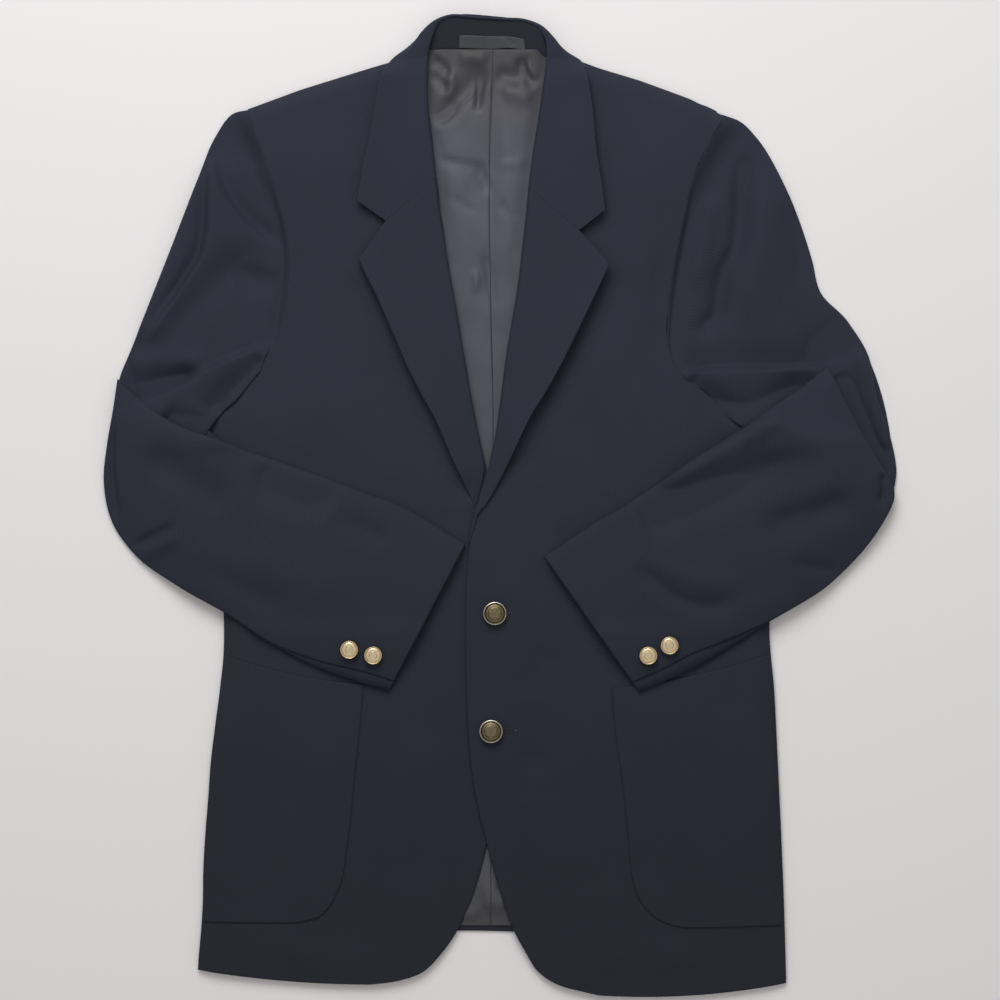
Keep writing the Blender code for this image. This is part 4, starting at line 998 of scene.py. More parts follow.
# %% [markdown]
# ## Sleeves
# A sleeve is two cuts, a wide top sleeve and a narrow under sleeve. Here each arm goes out from its armhole,
# folds at the elbow and comes back over the front. So its top sleeve is drawn in two stretches, one above the
# elbow and one below. A height of its bed says what it lies on: the body and its pocket, or the surface outside.

# %% What a sleeve lies on
# Past the body's side the bed falls to the surface, from the nearer of these distances to the farther.
SLEEVE_DROP = (84.0, 14.0)
# The bed steps up softly to the top of the pocket.
POCKET_WALL, POCKET_GAP, POCKET_TOP, POCKET_FADE = 1.2, 0.4, -90.0, 20.0
# How far a forearm's two sides stand apart, in its middle and at its edges.
FOREARM_PUFF, FOREARM_LEAST = 5.5, 0.5


def sleeve_bed(wearer, x, y):
    """The height of what lies under a sleeve: the body, its pocket, or the surface outside."""
    inside = inside_side(wearer, x, y)
    far, near = SLEEVE_DROP
    height = (body_height(x, y) + LAY_GAP) * smoothstep((inside + far) / (far - near))
    pocket = (POCKET_GAP + POCKET_WALL + SEAM_GAP) * smoothstep((POCKET_TOP - y) / POCKET_FADE)
    return height + pocket * smoothstep((inside + POCKET_FADE) / POCKET_FADE)


def sleeve_swell(shares):
    """How far the two sides of a pressed sleeve stand apart, as a share of the most."""
    return 1.0 - np.abs(2.0 * np.asarray(shares) - 1.0) ** 3


# %% Rows of the sleeves
# Outer x and y, inner x and y, bow, height of the middle, height of the inner edge, share of the bed's height.
UPPER_SLEEVE = {
    "right": (
        (-222, 324, -201, 114, 21, 8.8, 9.2, 0), (-237, 304, -204, 109, 18, 8.2, 9.4, 0),
        (-252, 266, -208, 103, 13, 7.4, 9.8, 0), (-270, 220, -214, 96, 8, 7.0, 9.6, 0.1),
        (-290, 170, -222, 88, 4, 7.0, 8.4, 0.35), (-306.5, 128, -234, 79, 1, 6.6, 5.6, 0.7),
        (-315.5, 106, -241, 70, 0, 5.6, 4.4, 1.0), (-316, 92, -250, 56, -3, 4.8, 4.0, 1.0),
    ),
    "left": (
        (198, 318, 149, 114, -20, 8.8, 9.2, 0), (212.5, 304, 152, 107, -16, 8.2, 9.4, 0),
        (239, 257, 158, 102, -11, 7.4, 9.8, 0), (258, 204, 168, 94, -6, 7.0, 9.6, 0.1),
        (265.3, 176, 184, 81, -2, 7.0, 8.4, 0.4), (288.5, 151, 206, 66.5, 0, 6.6, 4.8, 1.0),
        (305, 124, 225, 67, 0, 6.2, 5.0, 1.0), (312.5, 88, 244, 72, 0, 5.8, 5.0, 1.0),
        (323.5, 56, 258, 62, 0, 5.6, 5.0, 1.0), (328.5, 28, 272, 40, 0, 5.4, 5.0, 1.0),
        (325.5, 7, 286, 20, 0, 5.2, 5.0, 1.0),
    ),
}
# Outer x and y, inner x and y, bow, lift over the tuck, strip of under sleeve past the outer edge.
LOWER_SLEEVE = {
    "right": (
        (-317, 104, -239, 56, -8, 5.0, 0), (-320.5, 80, -230, 52, -5, 4.6, 0), (-326, 50, -221, 49, -2, 3.0, 0),
        (-329, 20, -212, 45, 0, 1.4, 0), (-322, -14.5, -199, 41, 0, 0.4, 0), (-302, -42.5, -185, 36, 0, 0, 0),
        (-267.5, -67, -163, 28, 0, 0, 0), (-223.5, -92, -134, 18, 0, 0, 0), (-190, -114, -108, 8, 0, 0, 0.5),
        (-151, -129, -83, -1, 0, 0, 5), (-114, -138, -55, -17, 0, 0, 9), (-88, -146, -29, -33, 0, 0, 8),
    ),
    "left": (
        (326, 14, 271, 115, -4, 5.0, 0), (325.4, 3, 252, 99, -3, 5.6, 0), (318.5, -11.5, 230, 84, -1, 6.2, 0),
        (306, -31, 206, 67, 0, 4.6, 0), (291, -48.5, 185, 53, 0, 2.4, 0), (268.5, -69, 163, 40, 0, 1.0, 0),
        (241, -86, 143, 26, 0, 0.3, 0), (216, -99, 123, 12, 0, 0, 1.5), (187, -112, 103, -1, 0, 0, 6),
        (157, -124, 78, -15, 0, 0, 10.5), (134, -136, 57, -29, 0, 0, 10), (109, -147, 36, -43, 0, 0, 9),
    ),
}
# The under sleeve follows these upper rows, its own rows round the elbow, and the lower rows from one on.
UNDER_UPPER_ROWS = {"right": 8, "left": 7}
UNDER_ELBOW = {
    "right": ((-320, 86, -240, 60),),
    "left": ((309, 112, 209, 65), (321, 70, 211, 64), (325, 30, 212, 62), (319, -6, 210, 62)),
}
UNDER_LOWER_FIRST = {"right": 1, "left": 3}
# The armhole is this many of the front's last rows. The upper stretch's inner edge stands clear of it, or laps
# over it at the armpit, and its sewn edge all but touches it.
ARMHOLE_POINTS = 10
ARMHOLE_CLEAR, PIT_LAP, SEAM_CLEAR = 1.0, 3.5, 0.05
# At the shoulder the sleeve's head runs in under the front: over this length, by this much in, up and down.
HEAD_LENGTH, HEAD_TUCK, HEAD_RISE, HEAD_SINK = 16.0, 2.2, 2.4, 0.8
# The least height of a folded sleeve: its two walls and a little air.
SLEEVE_LEAST = 2.0 * SLEEVE_WALL + 0.6
# The lower stretch rises over the tuck at the elbow by its rows' lift, times this.
TUCK_GAIN = 1.45

# %% [markdown]
# The arms crease most where they bend. These rows are the folds of each stretch: drag lines down from the
# shoulder, the tuck and its hollow at the elbow, and long troughs that run on down the forearm.

# %% Creases of the sleeves
SLEEVE_UPPER_RIGHT = (
    # Outer fold: the strip outside it lies lower.
    (
        8, 26, 5, 0.1, 0.15,
        (
            (-235.3, 294.6), (-238.6, 268.1), (-241.5, 222.4), (-244.4, 206.7),
            (-258.5, 183.4), (-276.8, 156), (-293.4, 129.5),
        ),
    ),
    # Valley outside the outer fold.
    (-3.6, 3, 6, 0.15, 0.2, ((-241.9, 282.2), (-243.6, 244.8), (-247.8, 213.3), (-263.5, 185.1), (-281, 157.7))),
    # Rim of the strip.
    (6.5, 17, 3, 0.15, 0.15, ((-243.6, 288.8), (-257.7, 249.8), (-274.3, 203.3), (-290.9, 161), (-305, 127))),
    # Drag line from the shoulder.
    (-4, 9, 3.5, 0.15, 0.2, ((-236.1, 288), (-223.7, 256.5), (-209.6, 238.2), (-194.6, 224.1), (-178, 212.5))),
    # Broad trough across the arm.
    (
        -6.5, 14, 18, 0.2, 0.25,
        ((-176.4, 183.4), (-201.3, 187.6), (-222.9, 193.4), (-245.3, 173.5), (-267.7, 149.4), (-290.9, 125.3)),
    ),
    # Lip at the armhole.
    (1.4, 8, 5, ((-219.5, 201.7), (-198, 197.5), (-176.4, 193.4))),
    # Armhole roll.
    (
        -4.2, 3.5, 9, 0.45, 0.2,
        (
            (-199.6, 286.3), (-187.2, 253.1), (-178, 224.1), (-175.5, 201.7),
            (-177.2, 166), (-182.2, 141.1), (-193, 125.3),
        ),
    ),
    # Fullness of the arm.
    (3.5, 30, 30, 0.25, 0.3, ((-217.9, 302.9), (-227.8, 228.2), (-242.8, 161.8), (-252.7, 87.1))),
    # Edge of the tuck.
    (4, 10, 9, 0.1, 0.25, ((-309.2, 115.4), (-282.6, 119.5), (-257.7, 118.7), (-237.8, 116.2))),
    # Trough under the tuck.
    (-6, 3.5, 9, 0.3, 0.1, ((-244.4, 109.6), (-272.7, 100.4), (-304.2, 88.8))),
    # Ridge to the armpit.
    (6.5, 3.5, 20, 0.1, 0.2, ((-307.5, 79.7), (-270.2, 94.6), (-240.3, 110.4), (-212.1, 122.8), (-186.3, 133.6))),
    # Shade beside the armpit.
    (-4.5, 4, 13, 0.15, 0.15, ((-194.6, 123.7), (-212.9, 103.8), (-231.2, 83.8), (-239.5, 70.5))),
    # Hollow where the arm goes under.
    (-5.5, 15, 10, 0.2, 0.1, ((-282.6, 73.9), (-257.7, 62.2), (-229.5, 53.9))),
)
SLEEVE_UPPER_LEFT = (
    # Fullness of the arm.
    (4.5, 30, 30, 0.25, 0.3, ((213.7, 302.9), (217, 228.2), (218.7, 161.8), (240.3, 87.1))),
    # Foot of the elbow fold.
    (-3.6, 14, 2, 0.12, 0.08, ((149, 113.7), (182.2, 115.4), (232, 116.6), (275.1, 118.7))),
    # Crest of the elbow fold.
    (5.2, 2.2, 15, 0.12, 0.08, ((147.3, 107.5), (182.2, 109.6), (232, 111.2), (273.5, 112.9))),
    # Shade along the forearm.
    (-6, 14, 8, 0.1, 0.2, ((197.1, 63.9), (223.7, 80.5), (248.6, 98.8), (268.5, 112))),
    # Rim of the strip.
    (5, 2.5, 10, 0.15, 0.15, ((296.7, 132.8), (306.7, 103.8), (315, 70.5), (320.8, 39))),
    # Valley outside the forearm.
    (-7.5, 9, 7, 0.15, 0.2, ((278.5, 110.4), (289.3, 85.5), (300.9, 62.2), (311.7, 41.5), (321.6, 22.4))),
    # Long valley down the arm.
    (
        -6, 9, 7, 0.15, 0.2,
        (
            (202.9, 296.3), (199.6, 262.3), (197.1, 233.2), (193.8, 212.5), (185.1, 194.2),
            (180.5, 171), (178.9, 159.4), (168.9, 147.7), (151.5, 138.6),
        ),
    ),
    # Lobe by the armhole.
    (2.6, 8, 8, 0.25, 0.25, ((178, 261.4), (168.1, 215.8), (160.6, 174.3))),
    # Armhole roll.
    (
        -3, 10, 7, 0.35, 0.2,
        (
            (170.6, 294.6), (163.1, 278.1), (152.3, 249), (147.3, 215.8),
            (141.5, 170.2), (139.9, 132.8), (147.3, 108.7),
        ),
    ),
    # Swell past the valley.
    (2.6, 16, 9, 0.25, 0.25, ((218.7, 273.9), (217, 228.2), (208.7, 186.8), (202.1, 145.2))),
    # Elbow hollow.
    (-4, 15, 15, ((248.6, 123.7), (271.8, 133.6), (295.1, 140.3))),
    # Outer drag line.
    (-2, 9, 9, ((238.6, 253.1), (246.9, 211.6), (251.1, 173.5))),
    # Shade beside the armpit.
    (-4.5, 13, 4, 0.15, 0.15, ((153.1, 106.2), (170.6, 91.3), (188.8, 77.2), (200.4, 68.1))),
    # Hollow where the arm goes under.
    (-5, 9, 9, 0.2, 0.2, ((157.3, 90.5), (182.2, 77.2), (208.7, 70.5))),
)
SLEEVE_LOWER_RIGHT = (
    # Elbow trough.
    (-4.2, 16, 15, 0.25, 0.25, ((-297.6, 49), (-257.7, 19.1), (-217.9, -5.8))),
    # Trough under the upper edge.
    (-6, 11, 18, ((-211.2, 25.7), (-173.1, 14.9), (-133.2, -0.8))),
    # Its end towards the cuff.
    (-2.6, 9, 10, ((-141.5, -9.1), (-116.6, -19.1), (-87.6, -32.4))),
    # Elbow crease.
    (-3, 4, 4, ((-307.5, -35.7), (-289.3, -27.4), (-266, -15.8))),
    # Lip under the elbow crease.
    (2.2, 6, 6, ((-304.2, -45.6), (-285.9, -36.5), (-259.4, -24.1))),
    # Back fold.
    (-3.2, 3, 3, 0.2, 0.25, ((-320, 70.5), (-321.6, 29), (-316.6, -19.1))),
    # Slack over the forearm.
    (2.4, 18, 18, ((-220.4, -39), (-166.4, -62.2), (-124.9, -77.2))),
    # Slack by the lower edge.
    (-1.8, 10, 10, ((-257.7, -45.6), (-207.9, -72.2), (-166.4, -88.8))),
)
SLEEVE_LOWER_LEFT = (
    # Long dark trough.
    (
        -7.5, 13, 22, 0.08, 0.35,
        ((110.8, -5.8), (139, 0.8), (165.6, 9.1), (192.1, 19.1), (225.3, 30.7), (258.5, 35.7), (286.8, 34)),
    ),
    # Rolled ridge above it.
    (4, 9, 9, 0.2, 0.2, ((124.1, 12.4), (169.7, 37.4), (208.7, 58.9), (241.9, 78.8))),
    # Second trough.
    (-5.6, 11, 15, ((208.7, -15.8), (240.3, -11.6), (270.2, -2.5), (298.4, 9.1))),
    # Slit by the elbow.
    (-3.6, 2.5, 3.5, 0.2, 0.3, ((315.8, 27.4), (316.6, 14.1), (314.2, -2.5))),
    # Small trough.
    (-2.2, 6, 6, ((235.3, -47.3), (260.2, -52.3), (285.1, -56.4))),
    # S trough.
    (-3.2, 7, 7, 0.2, 0.25, ((107.5, -47.3), (125.7, -62.2), (142.3, -75.5), (165.6, -83.8), (200.4, -80.5))),
    # Ridge above the S trough.
    (2.2, 9, 9, ((124.1, -45.6), (152.3, -58.9), (178.9, -65.6), (208.7, -60.6))),
    # Lip of the outer fold.
    (2.6, 3, 14, 0.1, 0.2, ((270.2, 110.4), (281, 97.1), (294.2, 70.5), (307.5, 44), (316.6, 20.8), (318.3, 2.5))),
    # Slack by the lower edge.
    (1.8, 14, 14, ((157.3, -112), (198.8, -92.1), (248.6, -70.5))),
)
UPPER_CREASES = {"right": SLEEVE_UPPER_RIGHT, "left": SLEEVE_UPPER_LEFT}
LOWER_CREASES = {"right": SLEEVE_LOWER_RIGHT, "left": SLEEVE_LOWER_LEFT}


# %% Sections of a top sleeve
def upper_sections(wearer, shares, pit_lap=0.0):
    """Sections above the elbow: x, y, height and share of the bed. The first is the front's armhole.

    pit_lap is how far the inner edge reaches over the front at the armpit, which the seam closes."""
    sign = across_sign(wearer)
    body = FRONT[wearer]
    levels = np.array([row[2] for row in body[: -ARMHOLE_POINTS - 1 : -1]], float)
    count = ARMHOLE_POINTS - 1
    y = fair_curve(levels[:, None], np.ones(count), shares * count)[:, 0]
    seam = side_x(wearer, y)
    height = front_surface(wearer, seam, y)
    head = smoothstep(1.0 - (y[0] - y) / HEAD_LENGTH)
    seam = seam + sign * (SEAM_CLEAR - HEAD_TUCK * head)
    sections = [np.stack([seam, y + HEAD_RISE * head, height - HEAD_SINK * head, 0.0 * y], axis=1)]
    corner_y = [row[2] for row in body]
    corner_x = side_x(wearer, np.array(corner_y))
    for outer_x, outer_y, inner_x, inner_y, bow, middle, inner, share in UPPER_SLEEVE[wearer]:
        clear = float(np.interp(inner_y, corner_y, corner_x)) + sign * ARMHOLE_CLEAR
        pit = (sign * max(sign * inner_x, sign * clear) - sign * pit_lap, inner_y - pit_lap)
        plan = bowed((outer_x, outer_y), pit, shares, (bow, 0.0))
        height = SLEEVE_LEAST + (middle - SLEEVE_LEAST) * sleeve_swell(0.5 * shares)
        height = height + (inner - middle) * smoothstep(shares * 1.6 - 0.6)
        sections.append(np.column_stack([plan, height, np.full(len(shares), share)]))
    return sections


def lower_sections(wearer, shares):
    """Sections below the elbow: x, y, lift over the tuck and how far the sleeve is open."""
    sections = []
    for i, (outer_x, outer_y, inner_x, inner_y, bow, tuck, _) in enumerate(LOWER_SLEEVE[wearer]):
        plan = bowed((outer_x, outer_y), (inner_x, inner_y), shares, (0.0, bow))
        lift, opened = (np.full(len(shares), value) for value in (TUCK_GAIN * tuck, float(smoothstep(i / 2.0))))
        sections.append(np.column_stack([plan, lift, opened]))
    return sections


# %% Make the top sleeves
# Width and length of each cut in metres, and its area.
UPPER_CUT = {"right": (0.23, 0.20, 0.027), "left": (0.23, 0.26, 0.037)}
LOWER_CUT = {"right": (0.15, 0.35, 0.043), "left": (0.15, 0.34, 0.042)}
UPPER_WIDTH, UPPER_MESH, UPPER_WAVES = 230.0, 2.1, 11
LOWER_WIDTH, LOWER_MESH, LOWER_WAVES = 150.0, 1.8, 12
# The folds start at the armhole's seam and are full this far from it.
SETTLED = 6.0
for wearer in ("right", "left"):
    shares = across_shares(UPPER_WIDTH, UPPER_MESH)
    fine = loft(upper_sections(wearer, shares, PIT_LAP), UPPER_MESH)
    x, y = fine[..., 0], fine[..., 1]
    bed = fine[..., 3] * sleeve_bed(wearer, x, y)
    settled = smoothstep(from_rims(fine)["first"] / SETTLED)
    folds = creased(x, y, UPPER_CREASES[wearer]) + slow_waves(x, y, UPPER_WAVES, strength=0.5)
    height = np.maximum(fine[..., 2] + bed + settled * folds, bed + 2.0 * SLEEVE_WALL)
    grid = np.dstack([x, y, height])
    rounded(grid, {"first": (1.0, 0.25), "start": (5.0, 0.6), "end": (7.0, 1.6), "last": (3.0, 1.0)})
    node, lies_on = f"top_sleeve_{wearer}_upper", [f"under_sleeve_{wearer}_cloth"]
    sew(node, grid, SLEEVE_WALL, UPPER_CUT[wearer], "folded", lies_on, thread="piece", sewn=("first",))

    shares = across_shares(LOWER_WIDTH, LOWER_MESH)
    fine = loft(lower_sections(wearer, shares), LOWER_MESH)
    x, y = fine[..., 0], fine[..., 1]
    puff = (FOREARM_PUFF - FOREARM_LEAST) * sleeve_swell(shares)[None, :] * np.clip(fine[..., 3], 0.0, 1.0)
    bed = sleeve_bed(wearer, x, y)
    height = bed + 2.0 * SLEEVE_WALL + (FOREARM_LEAST + puff) + fine[..., 2]
    height += creased(x, y, LOWER_CREASES[wearer]) + slow_waves(x, y, LOWER_WAVES, strength=0.5)
    height = np.maximum(height, bed + 2.0 * SLEEVE_WALL)
    grid = np.dstack([x, y, height])
    rounded(grid, {"end": (9.0, 2.6), "start": (2.4, 0.4), "first": (4.0, 1.6), "last": (1.8, 0.6)})
    sew(f"top_sleeve_{wearer}_lower", grid, SLEEVE_WALL, LOWER_CUT[wearer], "folded", lies_on, thread="piece")

# %% [markdown]
# The under sleeve is the same arm seen from below. Its sections are those of the top sleeve, lower, with a strip
# more where its edge shows past the cuff vent.

# %% Make the under sleeves
UNDER_MESH = 3.6
# The strip turns up a little towards its edge, by this much for each millimetre, and is never narrower than this.
STRIP_CURL, STRIP_LEAST = 0.13, 0.4
for wearer in ("right", "left"):
    shares = across_shares(LOWER_WIDTH, UNDER_MESH)
    flat = np.ones(len(shares))
    # Each section: its line, the width of the strip and its share of the bed's height.
    sections = [(row[:, :2], 0.0, row[:, 3]) for row in upper_sections(wearer, shares)[: UNDER_UPPER_ROWS[wearer]]]
    for outer_x, outer_y, inner_x, inner_y in UNDER_ELBOW[wearer]:
        sections.append((bowed((outer_x, outer_y), (inner_x, inner_y), shares), 0.0, flat))
    first = UNDER_LOWER_FIRST[wearer]
    for row, line in zip(LOWER_SLEEVE[wearer][first:], lower_sections(wearer, shares)[first:]):
        sections.append((line[:, :2], row[6], flat))
    rows = []
    for line, strip, share in sections:
        step = line[0] - line[2]
        start = line[:1] + step / np.linalg.norm(step) * max(STRIP_LEAST, strip)
        rows.append(np.column_stack([np.concatenate([start, line]), np.concatenate([share[:1], share])]))
    fine = loft(rows, UNDER_MESH)
    x, y = fine[..., 0], fine[..., 1]
    height = fine[..., 2] * sleeve_bed(wearer, x, y) + SLEEVE_WALL
    height[:, 0] += STRIP_CURL * np.hypot(x[:, 0] - x[:, 1], y[:, 0] - y[:, 1])
    grid = np.dstack([x, y, height])
    lies_on = [f"front_{wearer}_cloth"]
    sew(f"under_sleeve_{wearer}", grid, SLEEVE_WALL, (0.16, 0.56, 0.070), "folded", lies_on, thread="piece")

# %% [markdown]
# ## Patch pockets
# Each lower pocket is a patch of the same wool laid on the front and sewn round its foot and sides, so its
# edge is a soft step. It repeats the front's own height, moved out by a wall and the air behind it.

# %% Make the pockets
# Inner edge x and y, side y, sag.
POCKET = {
    "right": (
        (-190, -346, -346, 0), (-163, -345, -340, 0), (-149, -341, -333, 0), (-140, -331, -322, 0),
        (-132, -314, -308, 0), (-127, -286, -282, 0), (-121, -232, -230, 0), (-116, -183, -180, 0),
        (-113, -149, -125, 4),
    ),
    "left": (
        (168, -350, -349, 0), (145, -349, -342, 0), (128, -342, -334, 0), (117, -331, -323, 0),
        (109, -310, -306, 0), (106, -282, -280, 0), (101, -232, -230, 0), (95, -190, -185, 0),
        (92, -152, -124, 4),
    ),
}
POCKET_SIDE_INSET, POCKET_WIDTH, POCKET_MESH = 2.0, 125.0, 2.2
for wearer, rows in POCKET.items():
    inset = -across_sign(wearer) * POCKET_SIDE_INSET
    plan = loft(body_sections(wearer, rows, across_shares(POCKET_WIDTH, POCKET_MESH), inset), POCKET_MESH)
    height = front_surface(wearer, plan[..., 0], plan[..., 1]) + POCKET_GAP + POCKET_WALL
    grid = rounded(np.dstack([plan, height]), {"start": (2.2, 1.0), "end": (2.2, 0.8), "first": (2.2, 1.0)})
    sew(f"pocket_{wearer}", grid, POCKET_WALL, (0.15, 0.25, 0.028), "laid", [f"front_{wearer}_cloth"])

# %% [markdown]
# ## Buttons
# Metal blazer buttons are stamped shells on a shank: a raised rim, a groove and a crowned face. Each is turned
# from its own profile. It starts as a filled circle, and each step extrudes the cap and scales it, as a potter
# raises a wall. Both carry a plain low rosette of petals, a common generic ornament.

# %% Button profiles
# Share of the radius, share of the radius above the back of the button.
FRONT_PROFILE = (
    (0.20, -0.09), (0.20, 0.0), (0.55, 0.0), (0.90, 0.10), (0.98, 0.18), (1.00, 0.26), (0.99, 0.33),
    (0.955, 0.38), (0.925, 0.39), (0.895, 0.36), (0.87, 0.24), (0.83, 0.21), (0.80, 0.25), (0.76, 0.30),
    (0.66, 0.33), (0.62, 0.34), (0.58, 0.30), (0.54, 0.33), (0.48, 0.34),
)
CUFF_PROFILE = (
    (0.20, -0.12), (0.20, 0.0), (0.55, 0.0), (0.90, 0.12), (0.99, 0.22), (1.00, 0.30), (0.97, 0.37),
    (0.92, 0.40), (0.88, 0.39), (0.84, 0.32), (0.80, 0.28), (0.76, 0.31), (0.72, 0.33), (0.55, 0.35),
    (0.46, 0.35), (0.44, 0.32), (0.42, 0.35), (0.38, 0.36),
)
BUTTON_SIDES = 72


def turned_button(name, profile, diameter):
    radius = 0.5 * diameter * MM
    bpy.ops.object.select_all(action="DESELECT")
    bpy.ops.mesh.primitive_circle_add(vertices=BUTTON_SIDES, radius=profile[0][0] * radius, fill_type="NGON")
    button = bpy.context.object
    button.name = name
    bpy.ops.object.mode_set(mode="EDIT")
    bpy.ops.mesh.select_all(action="SELECT")
    for (old_share, old_height), (share, height) in zip(profile, profile[1:]):
        rise = (height - old_height) * radius
        bpy.ops.mesh.extrude_region_move(TRANSFORM_OT_translate={"value": (0.0, 0.0, rise)})
        scale = share / old_share
        bpy.ops.transform.resize(value=(scale, scale, 1.0))
    return button


def finish_button(button, finishes):
    bpy.ops.mesh.select_all(action="SELECT")
    bpy.ops.mesh.normals_make_consistent(inside=False)
    bpy.ops.object.mode_set(mode="OBJECT")
    for finish in finishes:
        button.data.materials.append(finish)
    bpy.ops.object.shade_smooth_by_angle(angle=math.radians(40.0))
    return button


# %% Turn a front button and a cuff button
FRONT_DIAMETER, CUFF_DIAMETER = 19.4, 15.2
PETAL_HEIGHT, PETAL_TAPER = 0.35, 0.92
RIM_SHARE = 0.89
SEAT_LIFT = 0.4


def raise_petals(button, petals, gap):
    """Raises petals round the middle of a cap cut into triangles. A larger gap makes narrower petals."""
    bpy.ops.mesh.poke()
    mesh = bmesh.from_edit_mesh(button.data)
    for face in mesh.faces:
        centre = face.calc_center_median()
        on_cap = len(face.verts) == 3 and centre.z > 0.0
        face.select = on_cap and math.cos(petals * math.atan2(centre.y, centre.x)) > gap
    bmesh.update_edit_mesh(button.data)
    bpy.ops.mesh.extrude_region_move(TRANSFORM_OT_translate={"value": (0.0, 0.0, PETAL_HEIGHT * MM)})
    bpy.ops.transform.resize(value=(PETAL_TAPER, PETAL_TAPER, 1.0))


front_button = turned_button("front_button", FRONT_PROFILE, FRONT_DIAMETER)
raise_petals(front_button, 6, gap=0.1)
finish_button(front_button, [aged_face, rim_rubbed_and_highlight])
# The outer rim takes the rim finish: rubbed brass, painted near white as a highlight.
for face in front_button.data.polygons:
    out = math.hypot(face.center.x, face.center.y) / (0.5 * FRONT_DIAMETER * MM)
    face.material_index = 1 if out > RIM_SHARE and face.center.z > 0.0 else 0

cuff_button = turned_button("cuff_button", CUFF_PROFILE, CUFF_DIAMETER)
raise_petals(cuff_button, 8, gap=-0.2)
finish_button(cuff_button, [bright_brass])
print("button faces:", len(front_button.data.polygons), len(cuff_button.data.polygons))

# %% [markdown]
# Each button stands on the cloth that carries it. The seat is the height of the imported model's own button,
# a little proud of the cloth, as a thread shank leaves it.

# %% Set the buttons
def set_button(model, name, node):
    low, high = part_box(node)
    centre = ((low[0] + high[0]) / 2.0, (low[1] + high[1]) / 2.0, low[2] + SEAT_LIFT * MM)
    button = bpy.data.objects.new(name, model.data.copy())
    bpy.context.scene.collection.objects.link(button)
    button.data.transform(Matrix.Translation(centre))
    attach(button, "root")
    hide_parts(node)
    print(f"{name}: centre {[round(v / MM, 1) for v in centre]} mm")


for place in ("upper", "lower"):
    set_button(front_button, f"brass_front_button_{place}", f"front_button_{place}")
for place in ("right_inner", "right_outer", "left_inner", "left_outer"):
    set_button(cuff_button, f"brass_cuff_button_{place}", f"cuff_button_{place}")
for model in (front_button, cuff_button):
    bpy.data.objects.remove(model, do_unlink=True)

# %% [markdown]
# A buttonhole is a slit whose lips are bound with twist. Only its end shows beside the button. It is a torus,
# squeezed flat and narrow in edit mode.

# %% Work the buttonholes
# Each buttonhole: its place, x and y of its middle, and half its length.
BUTTONHOLES = (("upper", 0.5, -89.5, 7.0), ("lower", 3.0, -187.2, 10.0))
TWIST_RADIUS, SLIT_NARROW, TWIST_FLAT, TWIST_LIFT = 0.75, 0.14, 0.8, 0.15
for place, x, y, half in BUTTONHOLES:
    bpy.ops.object.select_all(action="DESELECT")
    seat = float(front_surface("left", np.array([x]), np.array([y]))[0]) + TWIST_LIFT
    bpy.ops.mesh.primitive_torus_add(
        major_segments=72, minor_segments=10, major_radius=half * MM, minor_radius=TWIST_RADIUS * MM
    )
    lips = bpy.context.object
    lips.name = f"buttonhole_{place}"
    bpy.ops.object.mode_set(mode="EDIT")
    bpy.ops.mesh.select_all(action="SELECT")
    bpy.ops.transform.resize(value=(1.0, SLIT_NARROW, TWIST_FLAT))
    bpy.ops.transform.translate(value=(x * MM, y * MM, seat * MM))
    bpy.ops.object.mode_set(mode="OBJECT")
    lips.data.materials.append(silk_twist)
    lips.data.uv_layers.active.name = "Thread"
    bpy.ops.object.shade_smooth()
    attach(lips, "root")
    print(f"{lips.name}: {2 * half} mm long")

# %% [markdown]
# ## Floor, light and camera
# The jacket lies on plain pale card under a wide soft sky. A large soft panel above the top left brightens that
# corner, and the light falls off towards the lower right. The camera looks straight down from far off through
# a long lens, so that nothing leans.

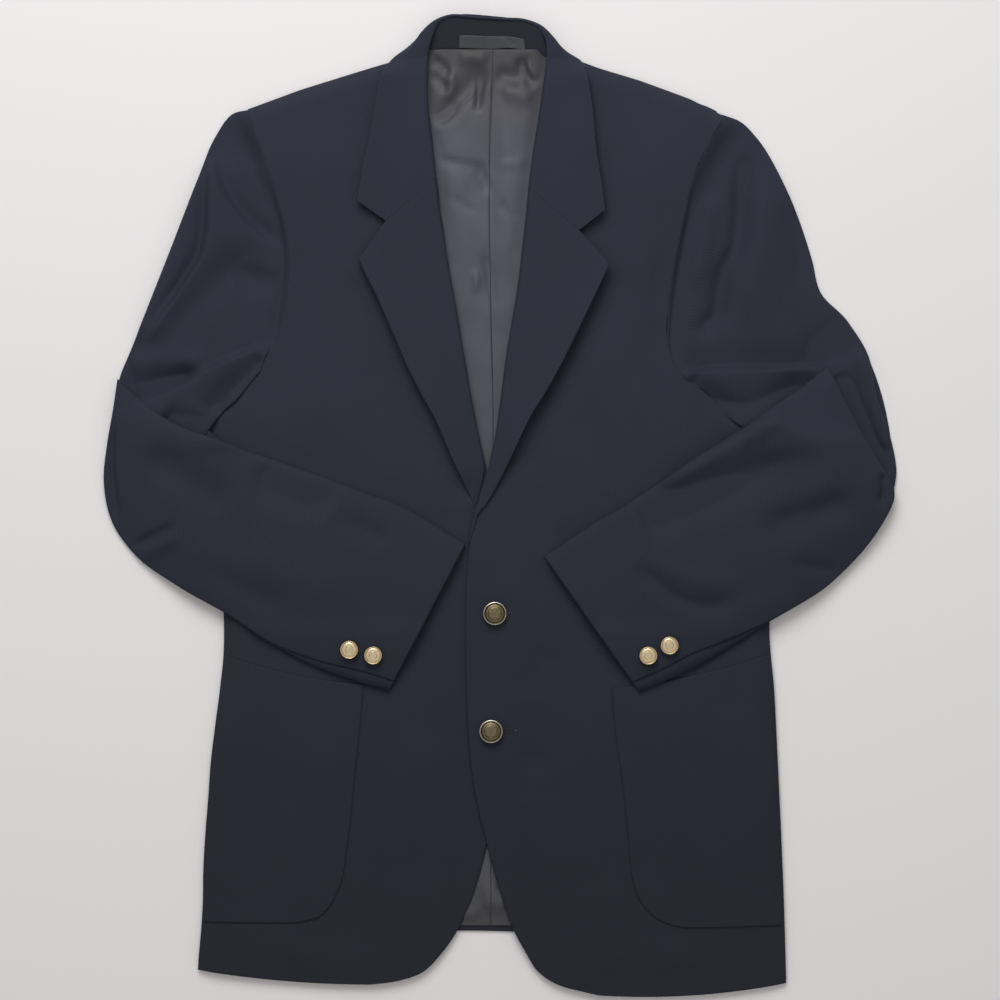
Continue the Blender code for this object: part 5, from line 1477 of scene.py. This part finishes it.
# %% Floor
FLOOR_SIDE, FLOOR_DROP = 30.0, 0.4
bpy.ops.object.select_all(action="DESELECT")
bpy.ops.mesh.primitive_plane_add(size=FLOOR_SIDE, location=(0.0, 0.0, -FLOOR_DROP * MM))
floor = bpy.context.object
floor.name = "floor"
floor.data.materials.append(floor_card)

# %% Light
# The sky's strength at the horizon and overhead. The panel's side and place are in metres.
SKY_LOW, SKY_HIGH, SKY_COLOUR = 0.02, 0.72, "#fffcfb"
PANEL_WATTS, PANEL_SIDE = 31.0, 1.3
PANEL_PLACE = (-0.25, 1.52, 1.6)
world = bpy.data.worlds.new("soft_studio")
bpy.context.scene.world = world
world.use_nodes = True
sky = world.node_tree.nodes["Background"]
sky.inputs["Color"].default_value = linear(SKY_COLOUR)
tree = world.node_tree
direction = tree.nodes.new("ShaderNodeTexCoord")
split = tree.nodes.new("ShaderNodeSeparateXYZ")
overhead = tree.nodes.new("ShaderNodeMapRange")
overhead.inputs["To Min"].default_value = SKY_LOW
overhead.inputs["To Max"].default_value = SKY_HIGH
tree.links.new(direction.outputs["Generated"], split.inputs["Vector"])
tree.links.new(split.outputs["Z"], overhead.inputs["Value"])
tree.links.new(overhead.outputs["Result"], sky.inputs["Strength"])
bpy.ops.object.light_add(type="AREA", location=PANEL_PLACE)
panel = bpy.context.object
panel.data.energy = PANEL_WATTS
panel.data.size = PANEL_SIDE
panel.rotation_euler = (-panel.location).to_track_quat("-Z", "Y").to_euler()

# %% Camera
# In metres: the width of the picture at the cloth's height, and where the camera stands over the jacket.
VIEW_WIDTH, CAMERA_HEIGHT, CLOTH_HEIGHT = 0.828, 2.6, 0.008
CAMERA_X, CAMERA_Y = -0.0004, 0.0037
SENSOR_WIDTH = 36.0
camera_data = bpy.data.cameras.new("overhead_camera")
camera = bpy.data.objects.new("overhead_camera", camera_data)
bpy.context.scene.collection.objects.link(camera)
camera_data.sensor_width = SENSOR_WIDTH
camera_data.lens = SENSOR_WIDTH * (CAMERA_HEIGHT - CLOTH_HEIGHT) / VIEW_WIDTH
camera.location = (CAMERA_X, CAMERA_Y, CAMERA_HEIGHT)
bpy.context.scene.camera = camera
bpy.context.scene.view_settings.view_transform = "Standard"
print("lens in mm:", round(camera_data.lens, 1))
